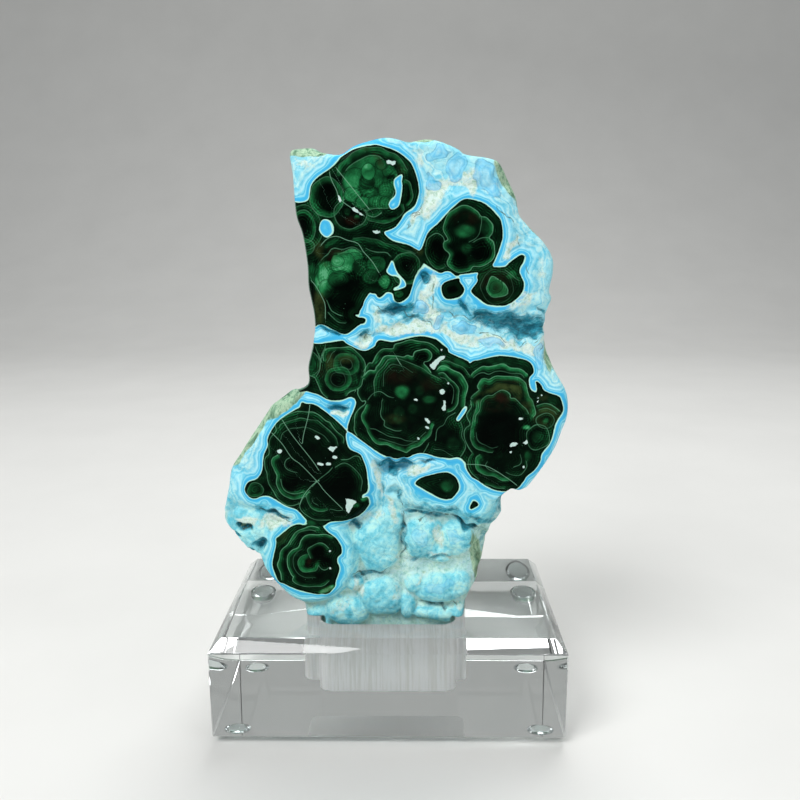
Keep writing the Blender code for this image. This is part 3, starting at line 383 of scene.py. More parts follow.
SHADES = (
    (-10.6, 124.6, 5.6, 5.4, 0.8, 10), (-9, 129.6, 2.8, 2.4, 0.6), (-14.5, 150.9, 2.3, 3.2, 1),
    (-9.4, 147.9, 2.6, 0.9, 0.6), (-8.4, 144.9, 2.6, 1.2, 0.7), (-10.8, 107.3, 1.3, 1.3, 1),
    (-13.1, 103.1, 1.7, 1.7, 1), (5.3, 152, 1.2, 2.4, 1), (9.5, 109, 1.8, 2, 0.9), (31, 88, 5.6, 5.4, 0.8),
    (-27, 73.6, 2.6, 2.4, 1), (-26.6, 79.2, 1.2, 1, 0.7), (5.4, 132.8, 2.3, 2.9, 0.9),
    (-22.2, 49.8, 1.5, 1.5, 0.9), (-17.9, 50, 1.7, 1.7, 0.9), (-19.7, 52.7, 1.7, 1.9, 0.9),
    (-13, 73.6, 4, 4.4, 0.7), (25.4, 137.4, 2.6, 2.4, 0.8), (13.2, 137, 2.2, 2.8, 0.9),
    (19.4, 135, 1.8, 1.8, 0.8), (17.4, 98.6, 1.1, 3.2, 0.9), (2.2, 147.1, 2.2, 1, 0.9),
    (1.7, 155.7, 1, 1, 0.7), (-21.6, 143.8, 2, 2.6, 0.8), (-21.6, 138.6, 1.6, 1.3, 0.8),
    (41.6, 86.8, 2.5, 2.7, 0.3), (17.8, 127.4, 2.6, 2.3, 0.8),
)

# Brown and olive stain in it, then cream ground of the chrysocolla and teal painted shade in its hollows and
# under its lumps
BROWNS = (
    (31.5, 98, 2.1, 1.8, 1), (28.4, 97.2, 1.7, 1.3, 0.8), (30.2, 95.4, 3.2, 1.4, 0.4),
    (-17.4, 107.2, 1, 3.4, 0.7), (-9.2, 145.2, 2.4, 1, 0.6), (-14.9, 136.2, 1.6, 2.6, 0.8, 35),
    (-12, 137, 1.6, 0.8, 0.6), (4, 104.4, 4.6, 2.4, 0.4), (-22.2, 49.8, 1.3, 1.2, 0.7),
    (43.4, 92.4, 2, 1.4, 0.7), (-1.4, 160.2, 0.8, 2.4, 1, 28), (29.2, 128.4, 4.6, 4.4, 0.3),
    (4.6, 158.2, 1.2, 1.4, 0.6), (-4.8, 163.2, 2, 0.5, 0.7, 8), (34, 102.2, 4.6, 0.7, 0.7, -6),
    (27.6, 101, 2, 0.9, 0.6, 20), (37.6, 99.6, 1, 2.6, 0.6), (21, 145.6, 3.4, 1.6, 0.35),
    (12, 101.6, 2.6, 2, 0.3),
)
OLIVES = (
    (33, 100.6, 4.6, 1.5, 1, -8), (35.8, 98.8, 1.6, 1.6, 0.9), (28.6, 100.2, 2.6, 0.9, 0.9, 12),
    (38.6, 96, 1.4, 2.6, 0.6, 20), (25.2, 98, 1, 1.8, 0.6, -20), (43.6, 93, 3.2, 2.6, 0.8),
    (-15.2, 107.2, 1.8, 2.4, 0.9), (-11.4, 108.8, 2.6, 1.2, 0.5), (-17.6, 123.2, 1.2, 5, 1),
    (-16.6, 137.2, 1.6, 2.8, 0.8, 40), (-14.6, 134.2, 1.8, 1.2, 0.5), (42.6, 98, 1.2, 1, 0.5),
    (-30.6, 57.6, 1.6, 2.8, 0.5, -40), (8.6, 138, 1.6, 0.9, 0.8, -60), (-17.4, 41.6, 2.4, 0.7, 0.9, 24),
    (-25.6, 95, 2.4, 0.6, 0.8, 20), (2.2, 92, 2.6, 1.2, 0.3),
)
CREAMS = (
    (6, 116.9, 9, 1.5, 1, 3), (19, 114.6, 6.6, 1.3, 0.9, -24), (30, 113, 7, 1.3, 1, -10),
    (38.6, 111, 3, 1.6, 1, -20), (42, 112.4, 1.3, 3.6, 0.8, -38), (-5.6, 113.6, 2.6, 1.4, 1, 20),
    (11.6, 127.4, 1.7, 4.8, 0.9, -22), (12.6, 120.6, 2.4, 3.6, 0.8, 20), (12.4, 150.8, 2.2, 5.6, 1, -32),
    (8.4, 146, 1.2, 3.4, 0.7, -38), (14.6, 153, 1.4, 5, 0.7, -30), (8.8, 160.8, 1.4, 3, 0.6, 30),
    (22.6, 155.4, 2.2, 3.4, 0.8, 16), (-2, 120.2, 1.4, 2.4, 0.7, 20), (-2.6, 75, 1.3, 6, 0.7, 12),
    (8.6, 77.4, 4, 1.2, 0.8, 22), (1.4, 65, 1, 4.4, 0.7, 14), (4, 49.8, 1.4, 3.4, 0.6, 10),
    (-31.5, 62.4, 5, 2.6, 0.9, 16), (-8.4, 41.6, 1.2, 3.6, 0.7, 12), (14.6, 57, 1, 4, 0.7, 18),
    (15.4, 51.2, 5, 0.9, 0.6, -16), (-4.5, 63.2, 4, 1.2, 0.5, 16), (33, 137.8, 1.2, 4, 0.7, -30),
    (-40.4, 62.4, 2.8, 1.2, 0.8), (18, 154.6, 5, 1.1, 0.7, -4), (-12.6, 94, 2.6, 0.9, 0.9),
    (9.6, 44.6, 3, 0.9, 0.6, 30), (18.5, 35.8, 4, 0.9, 0.5, 6), (-14, 36, 4, 1.4, 0.5, 40),
    (37, 124.4, 4.6, 1.2, 0.7, 30), (-20.5, 159.2, 3, 1.2, 0.5, -20), (41.6, 133, 1.4, 3.6, 0.5, 20),
    (10.6, 62.4, 4, 1, 0.5, -12), (3, 40.6, 1.2, 3.4, 0.5, -10),
)
# Painted shade: dark teal in the hollows and under the lumps
HOLLOW_SHADES = (
    (3.2, 122, 4.6, 1.5, 0.9, 4), (7, 119.8, 5, 0.9, 0.7, -14), (33, 118.4, 11, 2.8, 0.85, -8),
    (38, 115.8, 6, 1.5, 1, 10), (10.6, 130.4, 1.5, 1.3, 0.9), (-14.5, 116.3, 4.2, 0.7, 0.8, -15),
    (-6, 115.4, 2, 0.5, 0.8, 30), (-13, 95.3, 3.2, 0.6, 1, -3), (2.4, 78.9, 5.6, 0.8, 1, -4),
    (1.6, 77, 1.7, 1.9, 0.9), (11.6, 79.9, 2.8, 0.5, 0.6, -8), (-0.8, 72, 0.6, 2, 0.6),
    (3.6, 69.6, 0.8, 1.8, 0.7), (11, 63.8, 7, 0.7, 0.7, -12), (21.8, 60.6, 4.6, 0.9, 1, -28),
    (-9.3, 60.6, 1.8, 0.9, 0.8), (-5.6, 45, 4.6, 0.8, 0.7, 4), (4.3, 57, 0.7, 7.6, 0.7, 2),
    (-40.9, 60.2, 2.2, 1.1, 1, -14), (-36.4, 55, 2.1, 1.5, 0.8), (-31.6, 64.5, 4.8, 0.8, 0.9, -12),
    (-43.8, 57.4, 1.3, 0.8, 0.9, -40), (-39.4, 52.8, 1.4, 0.7, 0.9, -30), (13, 66, 8.4, 1.6, 0.6, -9),
    (25.6, 62.8, 5.4, 1.5, 0.65, -22), (13, 35.8, 5.6, 0.6, 0.6, -6), (34, 67.6, 4.6, 2.2, 0.7, 35),
    (28.6, 52, 2, 9, 0.5, 8), (17.6, 65, 2, 0.8, 0.5), (16.6, 63.4, 0.6, 1.4, 0.5),
    (42.6, 120.6, 3.4, 0.6, 0.7, -40), (26.4, 121, 3, 0.7, 0.8, -8), (21.4, 121.8, 2.4, 0.7, 0.8, -30),
    (13.8, 50.6, 5, 0.8, 0.6, 14), (9, 50.6, 3.6, 1.2, 0.5, 20), (-35, 66.2, 3.6, 0.5, 0.5, -8),
)

# Blue spots with a thin dark edge, in the cream ground
EYES = (
    (9.4, 122.4, 2.2, 2.1), (14, 118.9, 1.8, 1.3, 40), (20.8, 117, 3.2, 1.6, -28), (28.4, 112.9, 4, 1, -8),
    (41.2, 109.6, 1.5, 3.4, -8), (13.6, 162, 3, 1.9, 20), (12.3, 154.4, 1.3, 1.7),
    (18.6, 158.4, 2.4, 3.6, -10), (26.4, 155.8, 2.6, 5.6, 26), (9.2, 57, 2.4, 2.6, 10),
    (18.8, 57.6, 2.8, 1.5, -38), (14.6, 41.8, 4.2, 1.3, 18),
)

# Fine dark seams of the blue ground, and crust over it
SEAMS = (
    ((-2.6, 123.8), (-1.3, 122.5), (0, 121.4)), ((4.6, 121.7), (5.9, 120.3), (10.8, 118.7), (12.4, 117.8)),
    ((12.4, 128.8), (12.9, 126.4), (13.2, 124.3), (13.5, 122.7)),
    ((16.2, 121.1), (18.9, 120.5), (21.6, 119.7), (23.7, 118.3)),
    ((-6.6, 114.1), (-5.2, 115.2), (-3.6, 115.5)), ((5, 142.5), (6.3, 143.7), (7.9, 145), (9.2, 146.8)),
    ((25.4, 115.4), (30.8, 114.3), (33.5, 112.8), (37.2, 113), (41, 114.4), (44.6, 117.6)),
    ((45.1, 114.2), (43, 112), (41.2, 110.1)),
    ((4.1, 68), (4.6, 63.5), (4.3, 57.5), (4.6, 51.4), (6.4, 48.6)),
    ((8.6, 61.8), (14, 64.2), (16.3, 62.9), (20.5, 61.7), (23.4, 60.5), (24.8, 58.4)),
    ((-42.6, 60.7), (-41.2, 60), (-39.4, 60.3)), ((-41.9, 59.5), (-40.2, 59.3), (-38.9, 59.8)),
    ((-9.3, 46.2), (-6.8, 44.6), (-2.4, 45.1), (0.5, 46.8)),
    ((8.4, 37.4), (12.1, 35.9), (16.4, 35.2), (20.2, 35.9)), ((4.6, 143.4), (7.4, 146.2), (9, 148.8)),
    ((34.2, 141), (36.4, 136.6), (38, 131.6), (37.4, 127.6)), ((29, 149.6), (31.6, 147.4), (33.4, 143.8)),
    ((-36.6, 65.2), (-33.4, 65), (-29.6, 63.4), (-27.6, 62.8)),
)
CRUSTS = (
    (-21, 163, 6.4, 1.7, 1, -4), (10, 165.8, 3.4, 1, 0.8), (32.4, 156.4, 2.6, 7, 1, 28),
    (44.4, 110, 1.7, 5.4, 0.8), (-27.4, 97.4, 9, 2.3, 1, 40), (-37.4, 88.4, 2.2, 8, 1, -32),
    (-41.6, 81, 1.4, 4, 0.7, -30), (25.6, 49, 1.9, 9.6, 0.7, 10), (-46.4, 63, 1, 3, 0.3),
    (-41.5, 60, 0.7, 0.5, 0.9),
)

# White chips in the polish
CHIPS = (
    ((11.6, 106.9), (12.9, 105.5), (13.5, 106.5), (14.5, 107.8), (16.3, 109.4), (15, 109.5), (14, 109),
     (12.8, 107.8)),
    ((-11.7, 69.1), (-10.9, 69), (-9.7, 68.7), (-8.6, 68.1), (-9.5, 67.2), (-10.2, 66), (-11, 64.5),
     (-11.7, 65.6), (-11.8, 66.7), (-11.5, 67.6)),
    ((-16.4, 83.7), (-15.6, 84.3), (-14.9, 84), (-13.7, 84.2), (-14.5, 83.2), (-15.1, 82.6)),
    ((15.5, 97.3), (16.1, 97.3), (16.2, 95.5), (16.2, 94.2), (15.2, 94.6), (15.1, 95.5), (15.6, 96)),
    ((37.3, 85), (38, 85.6), (38.6, 86.1), (38.9, 85), (38.2, 84.7)),
    ((35.7, 91.9), (36.5, 92.4), (37.8, 92.2), (37, 91.7)),
    ((-19.9, 87.4), (-19, 87.3), (-18.4, 86.5), (-19, 86.1), (-19.8, 86.7)),
    ((-7.9, 148.6), (-7.2, 148), (-5.6, 146.5), (-6.4, 146.7), (-8, 147.6), (-8.9, 148.4)),
    ((-12, 152), (-11.3, 150.6), (-11, 150), (-11.7, 149.9), (-12.1, 150.8)),
)
ROUND_CHIPS = (
    (15.2, 99.6, 0.75, 0.7), (11.1, 91.6, 1.1, 0.4, -45), (11.1, 89.6, 0.85, 0.3, -25),
    (8.7, 86.4, 0.4, 0.4), (8, 97.4, 0.6, 0.3, -25), (-18.6, 79.1, 1, 0.45, -10), (-16.3, 79.2, 0.7, 0.45),
    (34.8, 84.7, 1.1, 0.55, 15), (1.1, 159.9, 0.6, 0.5), (2.4, 159.6, 0.7, 0.5, 20), (14.9, 111.1, 0.3, 0.3),
    (41.2, 97.9, 0.35, 0.35), (41.3, 96.8, 0.3, 0.3), (42.1, 98.5, 0.3, 0.3), (-16.4, 53.4, 0.35, 0.3),
    (-16.6, 48.2, 0.35, 0.3), (37.8, 78.2, 0.4, 0.4), (34.2, 82.5, 0.4, 0.3), (-2.2, 142.3, 0.95, 0.42),
    (-29.8, 82.8, 0.7, 0.6), (-14.5, 81.1, 0.7, 0.5), (16.8, 102, 0.3, 0.4),
)

# Fine pale cracks
CRACKS = (
    ((-28.9, 92.1), (-26, 87.3), (-21, 80.5), (-19, 77.3)),
    ((-31.8, 88.2), (-29, 85), (-26.5, 81), (-24, 79), (-19.5, 74), (-17.5, 71.2), (-12.5, 65.9)),
    ((-21, 96), (-21.5, 93), (-23, 87.5), (-23.4, 85)),
    ((22.1, 79.1), (27.6, 78.5), (33.3, 75.1), (36.2, 72.9)),
    ((-19.8, 129.8), (-18.5, 128.3), (-16.5, 124.5), (-16.1, 122.8), (-16.2, 119.5)),
    ((-12.5, 158.5), (-8, 153), (-4, 148)),
    ((-14.2, 157.6), (-13.8, 155.7), (-12.4, 152.8), (-11.3, 150.3), (-5.4, 146.4)),
    ((-17, 138.8), (-15, 140.7), (-12.5, 141.2), (-10, 140.2), (-7.2, 139.4), (-5.7, 137.2), (-3.4, 134.6),
     (-1.6, 131.6)),
    ((-24.7, 67.3), (-23.5, 70), (-21, 73), (-19, 74.5)), ((2.6, 109.4), (4, 107)),
)


def spread(points: Points, step: float, closed: bool = True) -> Array:
    """A smooth curve through given points.

    Args:
        points: The (u, v) points.
        step: Distance between the points that it gives, in mm.
        closed: Whether the last point joins the first.

    Returns:
        The curve's points, evenly spaced.
    """
    knots = np.array(points, float)
    if closed:
        before, here, there, after = (np.roll(knots, -shift, axis=0) for shift in (-1, 0, 1, 2))
    else:
        padded = np.vstack((2 * knots[0] - knots[1], knots, 2 * knots[-1] - knots[-2]))
        before, here, there, after = (padded[shift:len(knots) - 1 + shift] for shift in range(4))
    t = np.linspace(0, 1, SPAN_POINTS, endpoint=False)[None, :, None]
    p0, p1, p2, p3 = (part[:, None, :] for part in (before, here, there, after))
    dense = 0.5 * (2 * p1 + (p2 - p0) * t + (2 * p0 - 5 * p1 + 4 * p2 - p3) * t ** 2
                   + (3 * p1 - p0 - 3 * p2 + p3) * t ** 3)
    dense = np.vstack((dense.reshape(-1, 2), knots[:1] if closed else knots[-1:]))
    run = np.concatenate(([0.0], np.cumsum(np.hypot(*np.diff(dense, axis=0).T))))
    count = max(2, round(run[-1] / step))
    places = np.linspace(0, run[-1], count, endpoint=False) if closed else np.linspace(0, run[-1], count)
    return np.column_stack([np.interp(places, run, dense[:, axis]) for axis in (0, 1)])


def loop_distance(at: Array, loop: Array, reach: float = FAR) -> Array:
    """Signed distance to a closed loop, positive inside.

    Args:
        at: (n, 2) places.
        loop: (m, 2) corners of the loop.
        reach: Places farther outside than this get minus this distance.

    Returns:
        n distances in mm.
    """
    result = np.full(len(at), -reach)
    low, high = loop.min(0) - reach, loop.max(0) + reach
    near = np.flatnonzero(((at > low) & (at < high)).all(1))
    if not len(near):
        return result
    u, v = at[near].T
    best = np.full(len(near), reach * reach)
    odd = np.zeros(len(near), bool)
    for (u0, v0), (u1, v1) in zip(loop, np.roll(loop, -1, axis=0)):
        run_u, run_v = u1 - u0, v1 - v0
        share = ((u - u0) * run_u + (v - v0) * run_v) / max(run_u * run_u + run_v * run_v, 1e-9)
        share = np.clip(share, 0.0, 1.0)
        best = np.minimum(best, (u - u0 - share * run_u) ** 2 + (v - v0 - share * run_v) ** 2)
        if v0 != v1:
            odd ^= ((v0 > v) != (v1 > v)) & (u < u0 + (v - v0) / run_v * run_u)
    result[near] = np.where(odd, np.sqrt(best), -np.sqrt(best))
    return result


def line_side(at: Array, line: Array, reach: float = NEAR) -> Array:
    """Signed distance to an open line, which grows quickly past the line's ends.

    Args:
        at: (n, 2) places.
        line: (m, 2) points of the line.
        reach: The largest distance that is told apart.

    Returns:
        n distances in mm, positive on the line's left.
    """
    result = np.full(len(at), reach)
    low, high = line.min(0) - reach, line.max(0) + reach
    near = np.flatnonzero(((at > low) & (at < high)).all(1))
    u, v = at[near].T
    best = np.full(len(near), reach)
    side = np.ones(len(near))
    last = len(line) - 2
    for index, ((u0, v0), (u1, v1)) in enumerate(zip(line, line[1:])):
        run_u, run_v = u1 - u0, v1 - v0
        length = math.hypot(run_u, run_v)
        along = ((u - u0) * run_u + (v - v0) * run_v) / length
        held = np.clip(along, 0.0, length)
        distance = np.hypot(u - u0 - held * run_u / length, v - v0 - held * run_v / length)
        past = np.zeros(len(near))
        if index == 0:
            past = np.maximum(past, -along)
        if index == last:
            past = np.maximum(past, along - length)
        distance = np.minimum(distance + 4.0 * past, reach)
        across = (v - v0) * run_u - (u - u0) * run_v
        closer = distance < best
        side[closer] = np.where(across[closer] >= 0, 1.0, -1.0)
        best = np.minimum(best, distance)
    result[near] = best * side
    return result


def ellipse_share(at: Array, u: float, v: float, half_u: float, half_v: float, turn: float = 0.0) -> Array:
    """How far each place is from an ellipse's centre, as a share of the way to its edge.

    Args:
        at: (n, 2) places.
        u: Centre.
        v: Centre.
        half_u: Half size along u, before the turn.
        half_v: Half size along v, before the turn.
        turn: Degrees, anticlockwise.

    Returns:
        n shares: 0 at the centre and 1 on the edge.
    """
    cos_turn, sin_turn = math.cos(math.radians(turn)), math.sin(math.radians(turn))
    du, dv = at[:, 0] - u, at[:, 1] - v
    return np.hypot((du * cos_turn + dv * sin_turn) / half_u, (dv * cos_turn - du * sin_turn) / half_v)


def rounds(at: Array, *ellipse: float) -> Array:
    """Rough signed distance to an ellipse's edge, in mm, positive inside it."""
    return (1.0 - ellipse_share(at, *ellipse)) * min(ellipse[2:4])


def smoothstep(low: float, high: float, value: Array) -> Array:
    """0 below low, 1 above high and smooth between.

    Args:
        low: Where it leaves 0.
        high: Where it reaches 1.
        value: The values.

    Returns:
        The steps.
    """
    share = np.clip((value - low) / (high - low), 0.0, 1.0)
    return share * share * (3.0 - 2.0 * share)


def patches(at: Array, spots: Iterable[tuple], softness: float = 0.45) -> Array:
    """Soft-edged elliptical patches.

    Args:
        at: (n, 2) places.
        spots: (u, v, half_u, half_v, amount) of each, and its turn if it has one.
        softness: How wide the soft edge is, as a share of the size.

    Returns:
        n amounts, the largest of the patches at each place.
    """
    amount = np.zeros(len(at))
    for u, v, half_u, half_v, most, *turn in spots:
        share = ellipse_share(at, u, v, half_u, half_v, *turn)
        amount = np.maximum(amount, most * smoothstep(1.0 + softness, 1.0 - softness, share))
    return amount


def waves(at: Array, size: float, seed: int, count: int = 9) -> Array:
    """Smooth, seeded noise: a sum of plane waves.

    Args:
        at: (n, 3) places in mm.
        size: Rough size of a lump, in mm.
        seed: Seed of the directions.
        count: How many waves.

    Returns:
        n values, nearly all of them between -1 and 1.
    """
    rng = np.random.default_rng(seed)
    total = np.zeros(len(at))
    for _ in range(count):
        direction = rng.normal(size=3)
        direction *= rng.uniform(0.6, 1.5) * math.pi / (size * np.linalg.norm(direction))
        total += np.sin(at @ direction + rng.uniform(0, 2 * math.pi))
    return total / math.sqrt(count) / 1.3


def lift(at: Array, depth: Array) -> Array:
    """Places (u, depth, v) from (n, 2) places and their depths."""
    return np.column_stack((at[:, 0], depth, at[:, 1]))


def wander(at: Array, far: float, size: float, seed: int) -> Array:
    """Places pushed about by seeded noise.

    Args:
        at: (n, 2) places.
        far: Rough distance that they go, in mm.
        size: Size of the noise's lumps, in mm.
        seed: Seed of the push along u; the next one is used along v.

    Returns:
        The moved places.
    """
    flat = np.column_stack((at, np.zeros(len(at))))
    return at + far * np.column_stack((waves(flat, size, seed), waves(flat, size, seed + 1)))


def inward(loop: Array) -> Array:
    """Directions into a loop.

    Args:
        loop: (n, 2) corners of the loop, clockwise.

    Returns:
        n unit vectors.
    """
    run = np.roll(loop, -1, axis=0) - np.roll(loop, 1, axis=0)
    run /= np.linalg.norm(run, axis=1)[:, None]
    return np.column_stack((run[:, 1], -run[:, 0]))


def knobs(at: Array, size: float, seed: int) -> Array:
    """Rounded knobs, packed side by side.

    Args:
        at: (n, 3) places in mm.
        size: Distance between knobs, in mm.
        seed: Seed of their places.

    Returns:
        n heights: 1 on a knob's top and 0 in the creases between them.
    """
    jitter = np.random.default_rng(seed).uniform(0.15, 0.85, (32, 32, 32, 3))
    cell = np.floor(at / size).astype(int)
    nearest = np.full(len(at), 9.0)
    for shift in np.ndindex(3, 3, 3):
        home = cell + np.array(shift) - 1
        centre = home + jitter[tuple((home % 32).T)]
        nearest = np.minimum(nearest, ((at / size - centre) ** 2).sum(1))
    return np.clip(1.0 - nearest / 0.8, 0.0, 1.0)


def creases(at: Array, knob_sets: Iterable[tuple]) -> Array:
    """How deep the creases between knobs are.

    Args:
        at: (n, 3) places in mm.
        knob_sets: Height, size and seed of each set of knobs.

    Returns:
        n depths in mm.
    """
    return sum(height * (1.0 - knobs(at, size, seed)) for height, size, seed in knob_sets)


class Surface(Enum):
    """Which way a part of the stone faces."""

    FRONT = "front"
    SIDE = "side"
    BACK = "back"


@dataclass
class StoneShape:
    """The stone's form: the outline, the front relief, the side wall and the back."""

    outline_step: float = 0.46
    front_step: float = 0.43
    back_step: float = 1.0
    edge_radius: float = 2.4
    thickness: float = 33.0
    foot_thickness: float = 28.2
    edge_share: float = 0.72
    back_rounding: float = 10.0
    side_rows: int = 22
    ground: float = 3.6  # depth of the creases between the natural lumps
    upper_rise: float = 2.5  # how much shallower they are on the stone's upper part
    shoulder_depth: float = 9.9  # where the foot widens, behind the pocket's step
    front_knobs: tuple = ((0.42, 2.7, 5), (0.22, 1.1, 6))  # height, size, seed
    side_knobs: tuple = ((0.8, 4.6, 8), (0.4, 1.9, 9))
    back_knobs: tuple = ((1.3, 5.2, 8), (0.6, 2.3, 9))
    side_profile: tuple = ((0, 0), (0.22, 0.15), (0.5, 0.7), (0.76, 1.9), (0.92, 3.4), (1, 4.8))
    outline: Array = field(init=False)

    def __post_init__(self) -> None:
        """Draw the outline."""
        self.outline = spread(OUTLINE, self.outline_step)

    def inset(self, distance: float) -> Array:
        """The outline moved inwards, its corners softened.

        Args:
            distance: How far, in mm.

        Returns:
            The moved outline.
        """
        soft = self.outline
        reach = 1.7 * distance
        if reach > 0.2:
            most = round(2 * reach / self.outline_step)
            shifts = range(-most, most + 1)
            weights = [math.exp(-0.5 * (shift * self.outline_step / reach) ** 2) for shift in shifts]
            soft = sum(w * np.roll(self.outline, -shift, axis=0) for w, shift in zip(weights, shifts))
            soft /= sum(weights)
        return soft + distance * inward(soft)

    def relief(self, at: Array) -> tuple[Array, Array]:
        """Depth of the natural front.

        Args:
            at: (n, 2) places.

        Returns:
            n depths in mm, and n shares of how natural, and so how rough, the surface is.
        """
        away = -np.max([rounds(at, *plateau) for plateau in PLATEAUS], axis=0)
        rough = smoothstep(0.8, 4.5, away)
        depth = (self.ground - self.upper_rise * smoothstep(60.0, 70.0, at[:, 1])) * rough
        bent, curled = wander(at, 0.7, 6.0, 41), wander(at, *CURL)
        for *ellipse, top in LUMPS:
            share = np.minimum(ellipse_share(bent, *ellipse), 1.0)
            dome = top + (self.ground - top) * 0.5 * (share ** 2 + share ** 5)
            depth = np.where(share < 1.0, np.minimum(depth, dome), depth)
        for u, v, half_u, half_v, deepest, *turn in HOLLOWS:
            share = np.minimum(ellipse_share(curled, u, v, half_u, half_v, *turn), 1.0)
            depth = depth + deepest * (1.0 - share * share) ** 1.5
            rough = np.maximum(rough, (1.0 - share) * (deepest > 1.0))
        return depth, rough

    def foot(self, at: Array, depth: Array) -> Array:
        """The depths, changed where the stone goes down into the pocket.

        Args:
            at: (n, 2) places.
            depth: n depths in mm.

        Returns:
            n depths in mm.
        """
        v = at[:, 1]
        below = 1.0 - smoothstep(BLOCK_TOP - 0.2, BLOCK_TOP + 1.8, v)
        gap = np.minimum(at[:, 0] - NARROW[0], NARROW[1] - at[:, 0])
        into = np.clip(POCKET_RADIUS - gap, 0.0, POCKET_RADIUS)
        corner = POCKET_RADIUS - 0.1 - np.sqrt(POCKET_RADIUS ** 2 - into ** 2)
        corner = np.maximum(corner, self.shoulder_depth * smoothstep(1.9, 0.8, gap))
        return np.maximum(depth + 0.3 * below, corner * below)

    def front(self, at: Array, edge: Array) -> Array:
        """Depth of the front surface, rolled over and knobbly.

        Args:
            at: (n, 2) places.
            edge: n distances to the outline.

        Returns:
            n depths in mm.
        """
        depth, rough = self.relief(at)
        near = np.minimum(1.0, edge / self.edge_radius)
        rolled = self.edge_radius * (1.0 - np.sqrt(1.0 - (1.0 - near) ** 2))
        solid = lift(at, depth)
        grain = creases(solid, self.front_knobs) + 0.16 * (1.0 + waves(solid, 3.6, 7))
        return self.foot(at, depth + rough * grain) + 0.8 * rolled

    def thick(self, at: Array) -> Array:
        """Depth of the back surface away from the outline.

        Args:
            at: (n, 2) places.

        Returns:
            n depths in mm.
        """
        above = smoothstep(BLOCK_TOP + 2, BLOCK_TOP + 16, at[:, 1])
        thick = self.foot_thickness + (self.thickness - self.foot_thickness) * above
        for *ellipse, height in BACK_LUMPS:
            share = np.minimum(ellipse_share(at, *ellipse), 1.0)
            thick += height * (1.0 - share * share) ** 1.5
        return thick

    def back(self, at: Array, edge: Array) -> Array:
        """Depth of the back surface.

        Args:
            at: (n, 2) places.
            edge: n distances to the back's own edge.

        Returns:
            n depths in mm.
        """
        near = np.minimum(1.0, edge / self.back_rounding)
        rounded = np.sqrt(1.0 - (1.0 - near) ** 2)
        depth = self.thick(at) * (self.edge_share + (1.0 - self.edge_share) * rounded)
        solid = lift(at, depth)
        return depth - creases(solid, self.back_knobs) * np.minimum(1.0, near * 3.0)

    def lattice(self, loop: Array, step: float, margin: float) -> tuple[Array, Array]:
        """Points of a triangular lattice inside a loop.

        Args:
            loop: The loop.
            step: Distance between points, in mm.
            margin: Least distance to the loop, in mm.

        Returns:
            (n, 2) points, and their n distances to the loop.
        """
        low, high = loop.min(0), loop.max(0)
        rows = np.arange(low[1], high[1], 0.866 * step)
        columns = np.arange(low[0], high[0], step)
        u = columns[None, :] + 0.5 * step * (np.arange(len(rows)) % 2)[:, None]
        v = np.broadcast_to(rows[:, None], u.shape)
        at = np.column_stack((u.ravel(), v.ravel()))
        distance = loop_distance(at, loop, 12.0)
        kept = distance > margin
        return at[kept], distance[kept]

    @staticmethod
    def fill(loop: Array, inner: Array) -> Array:
        """Triangles over a loop and the points inside it.

        Args:
            loop: The loop.
            inner: The points inside it.

        Returns:
            (n, 3) indices into the loop's points and then the inner ones.
        """
        flat = [Vector(point) for point in np.vstack((loop, inner))]
        made = delaunay_2d_cdt(flat, [], [list(range(len(loop)))], 1, 1e-7)
        first_of = np.array([origins[0] for origins in made[3]])
        return first_of[np.array(made[2])]

    def side(self, start: Array, natural: Array) -> Array:
        """Rows of points down the side wall, from the front edge to the back.

        Args:
            start: Depth of the front edge at each outline point.
            natural: How knobbly the wall is at each outline point.

        Returns:
            (rows, points, 3) places in mm.
        """
        shares = np.linspace(0, 1, self.side_rows) ** 1.1
        insets = np.interp(shares, *zip(*self.side_profile))
        rows = []
        for share, inset in zip(shares, insets):
            ring = self.inset(inset)
            end = self.edge_share * self.thick(ring)
            depth = start + share * (end - start)
            solid = lift(ring, depth)
            ease = min(1.0, share * 6.0) * min(1.0, (1.0 - share) * 8.0)
            grain = creases(solid, self.side_knobs) + 0.5 * (1.0 + waves(solid, 7.0, 12))
            ring = ring + (grain * ease * natural)[:, None] * inward(self.outline)
            rows.append(lift(ring, depth))
        return np.array(rows)


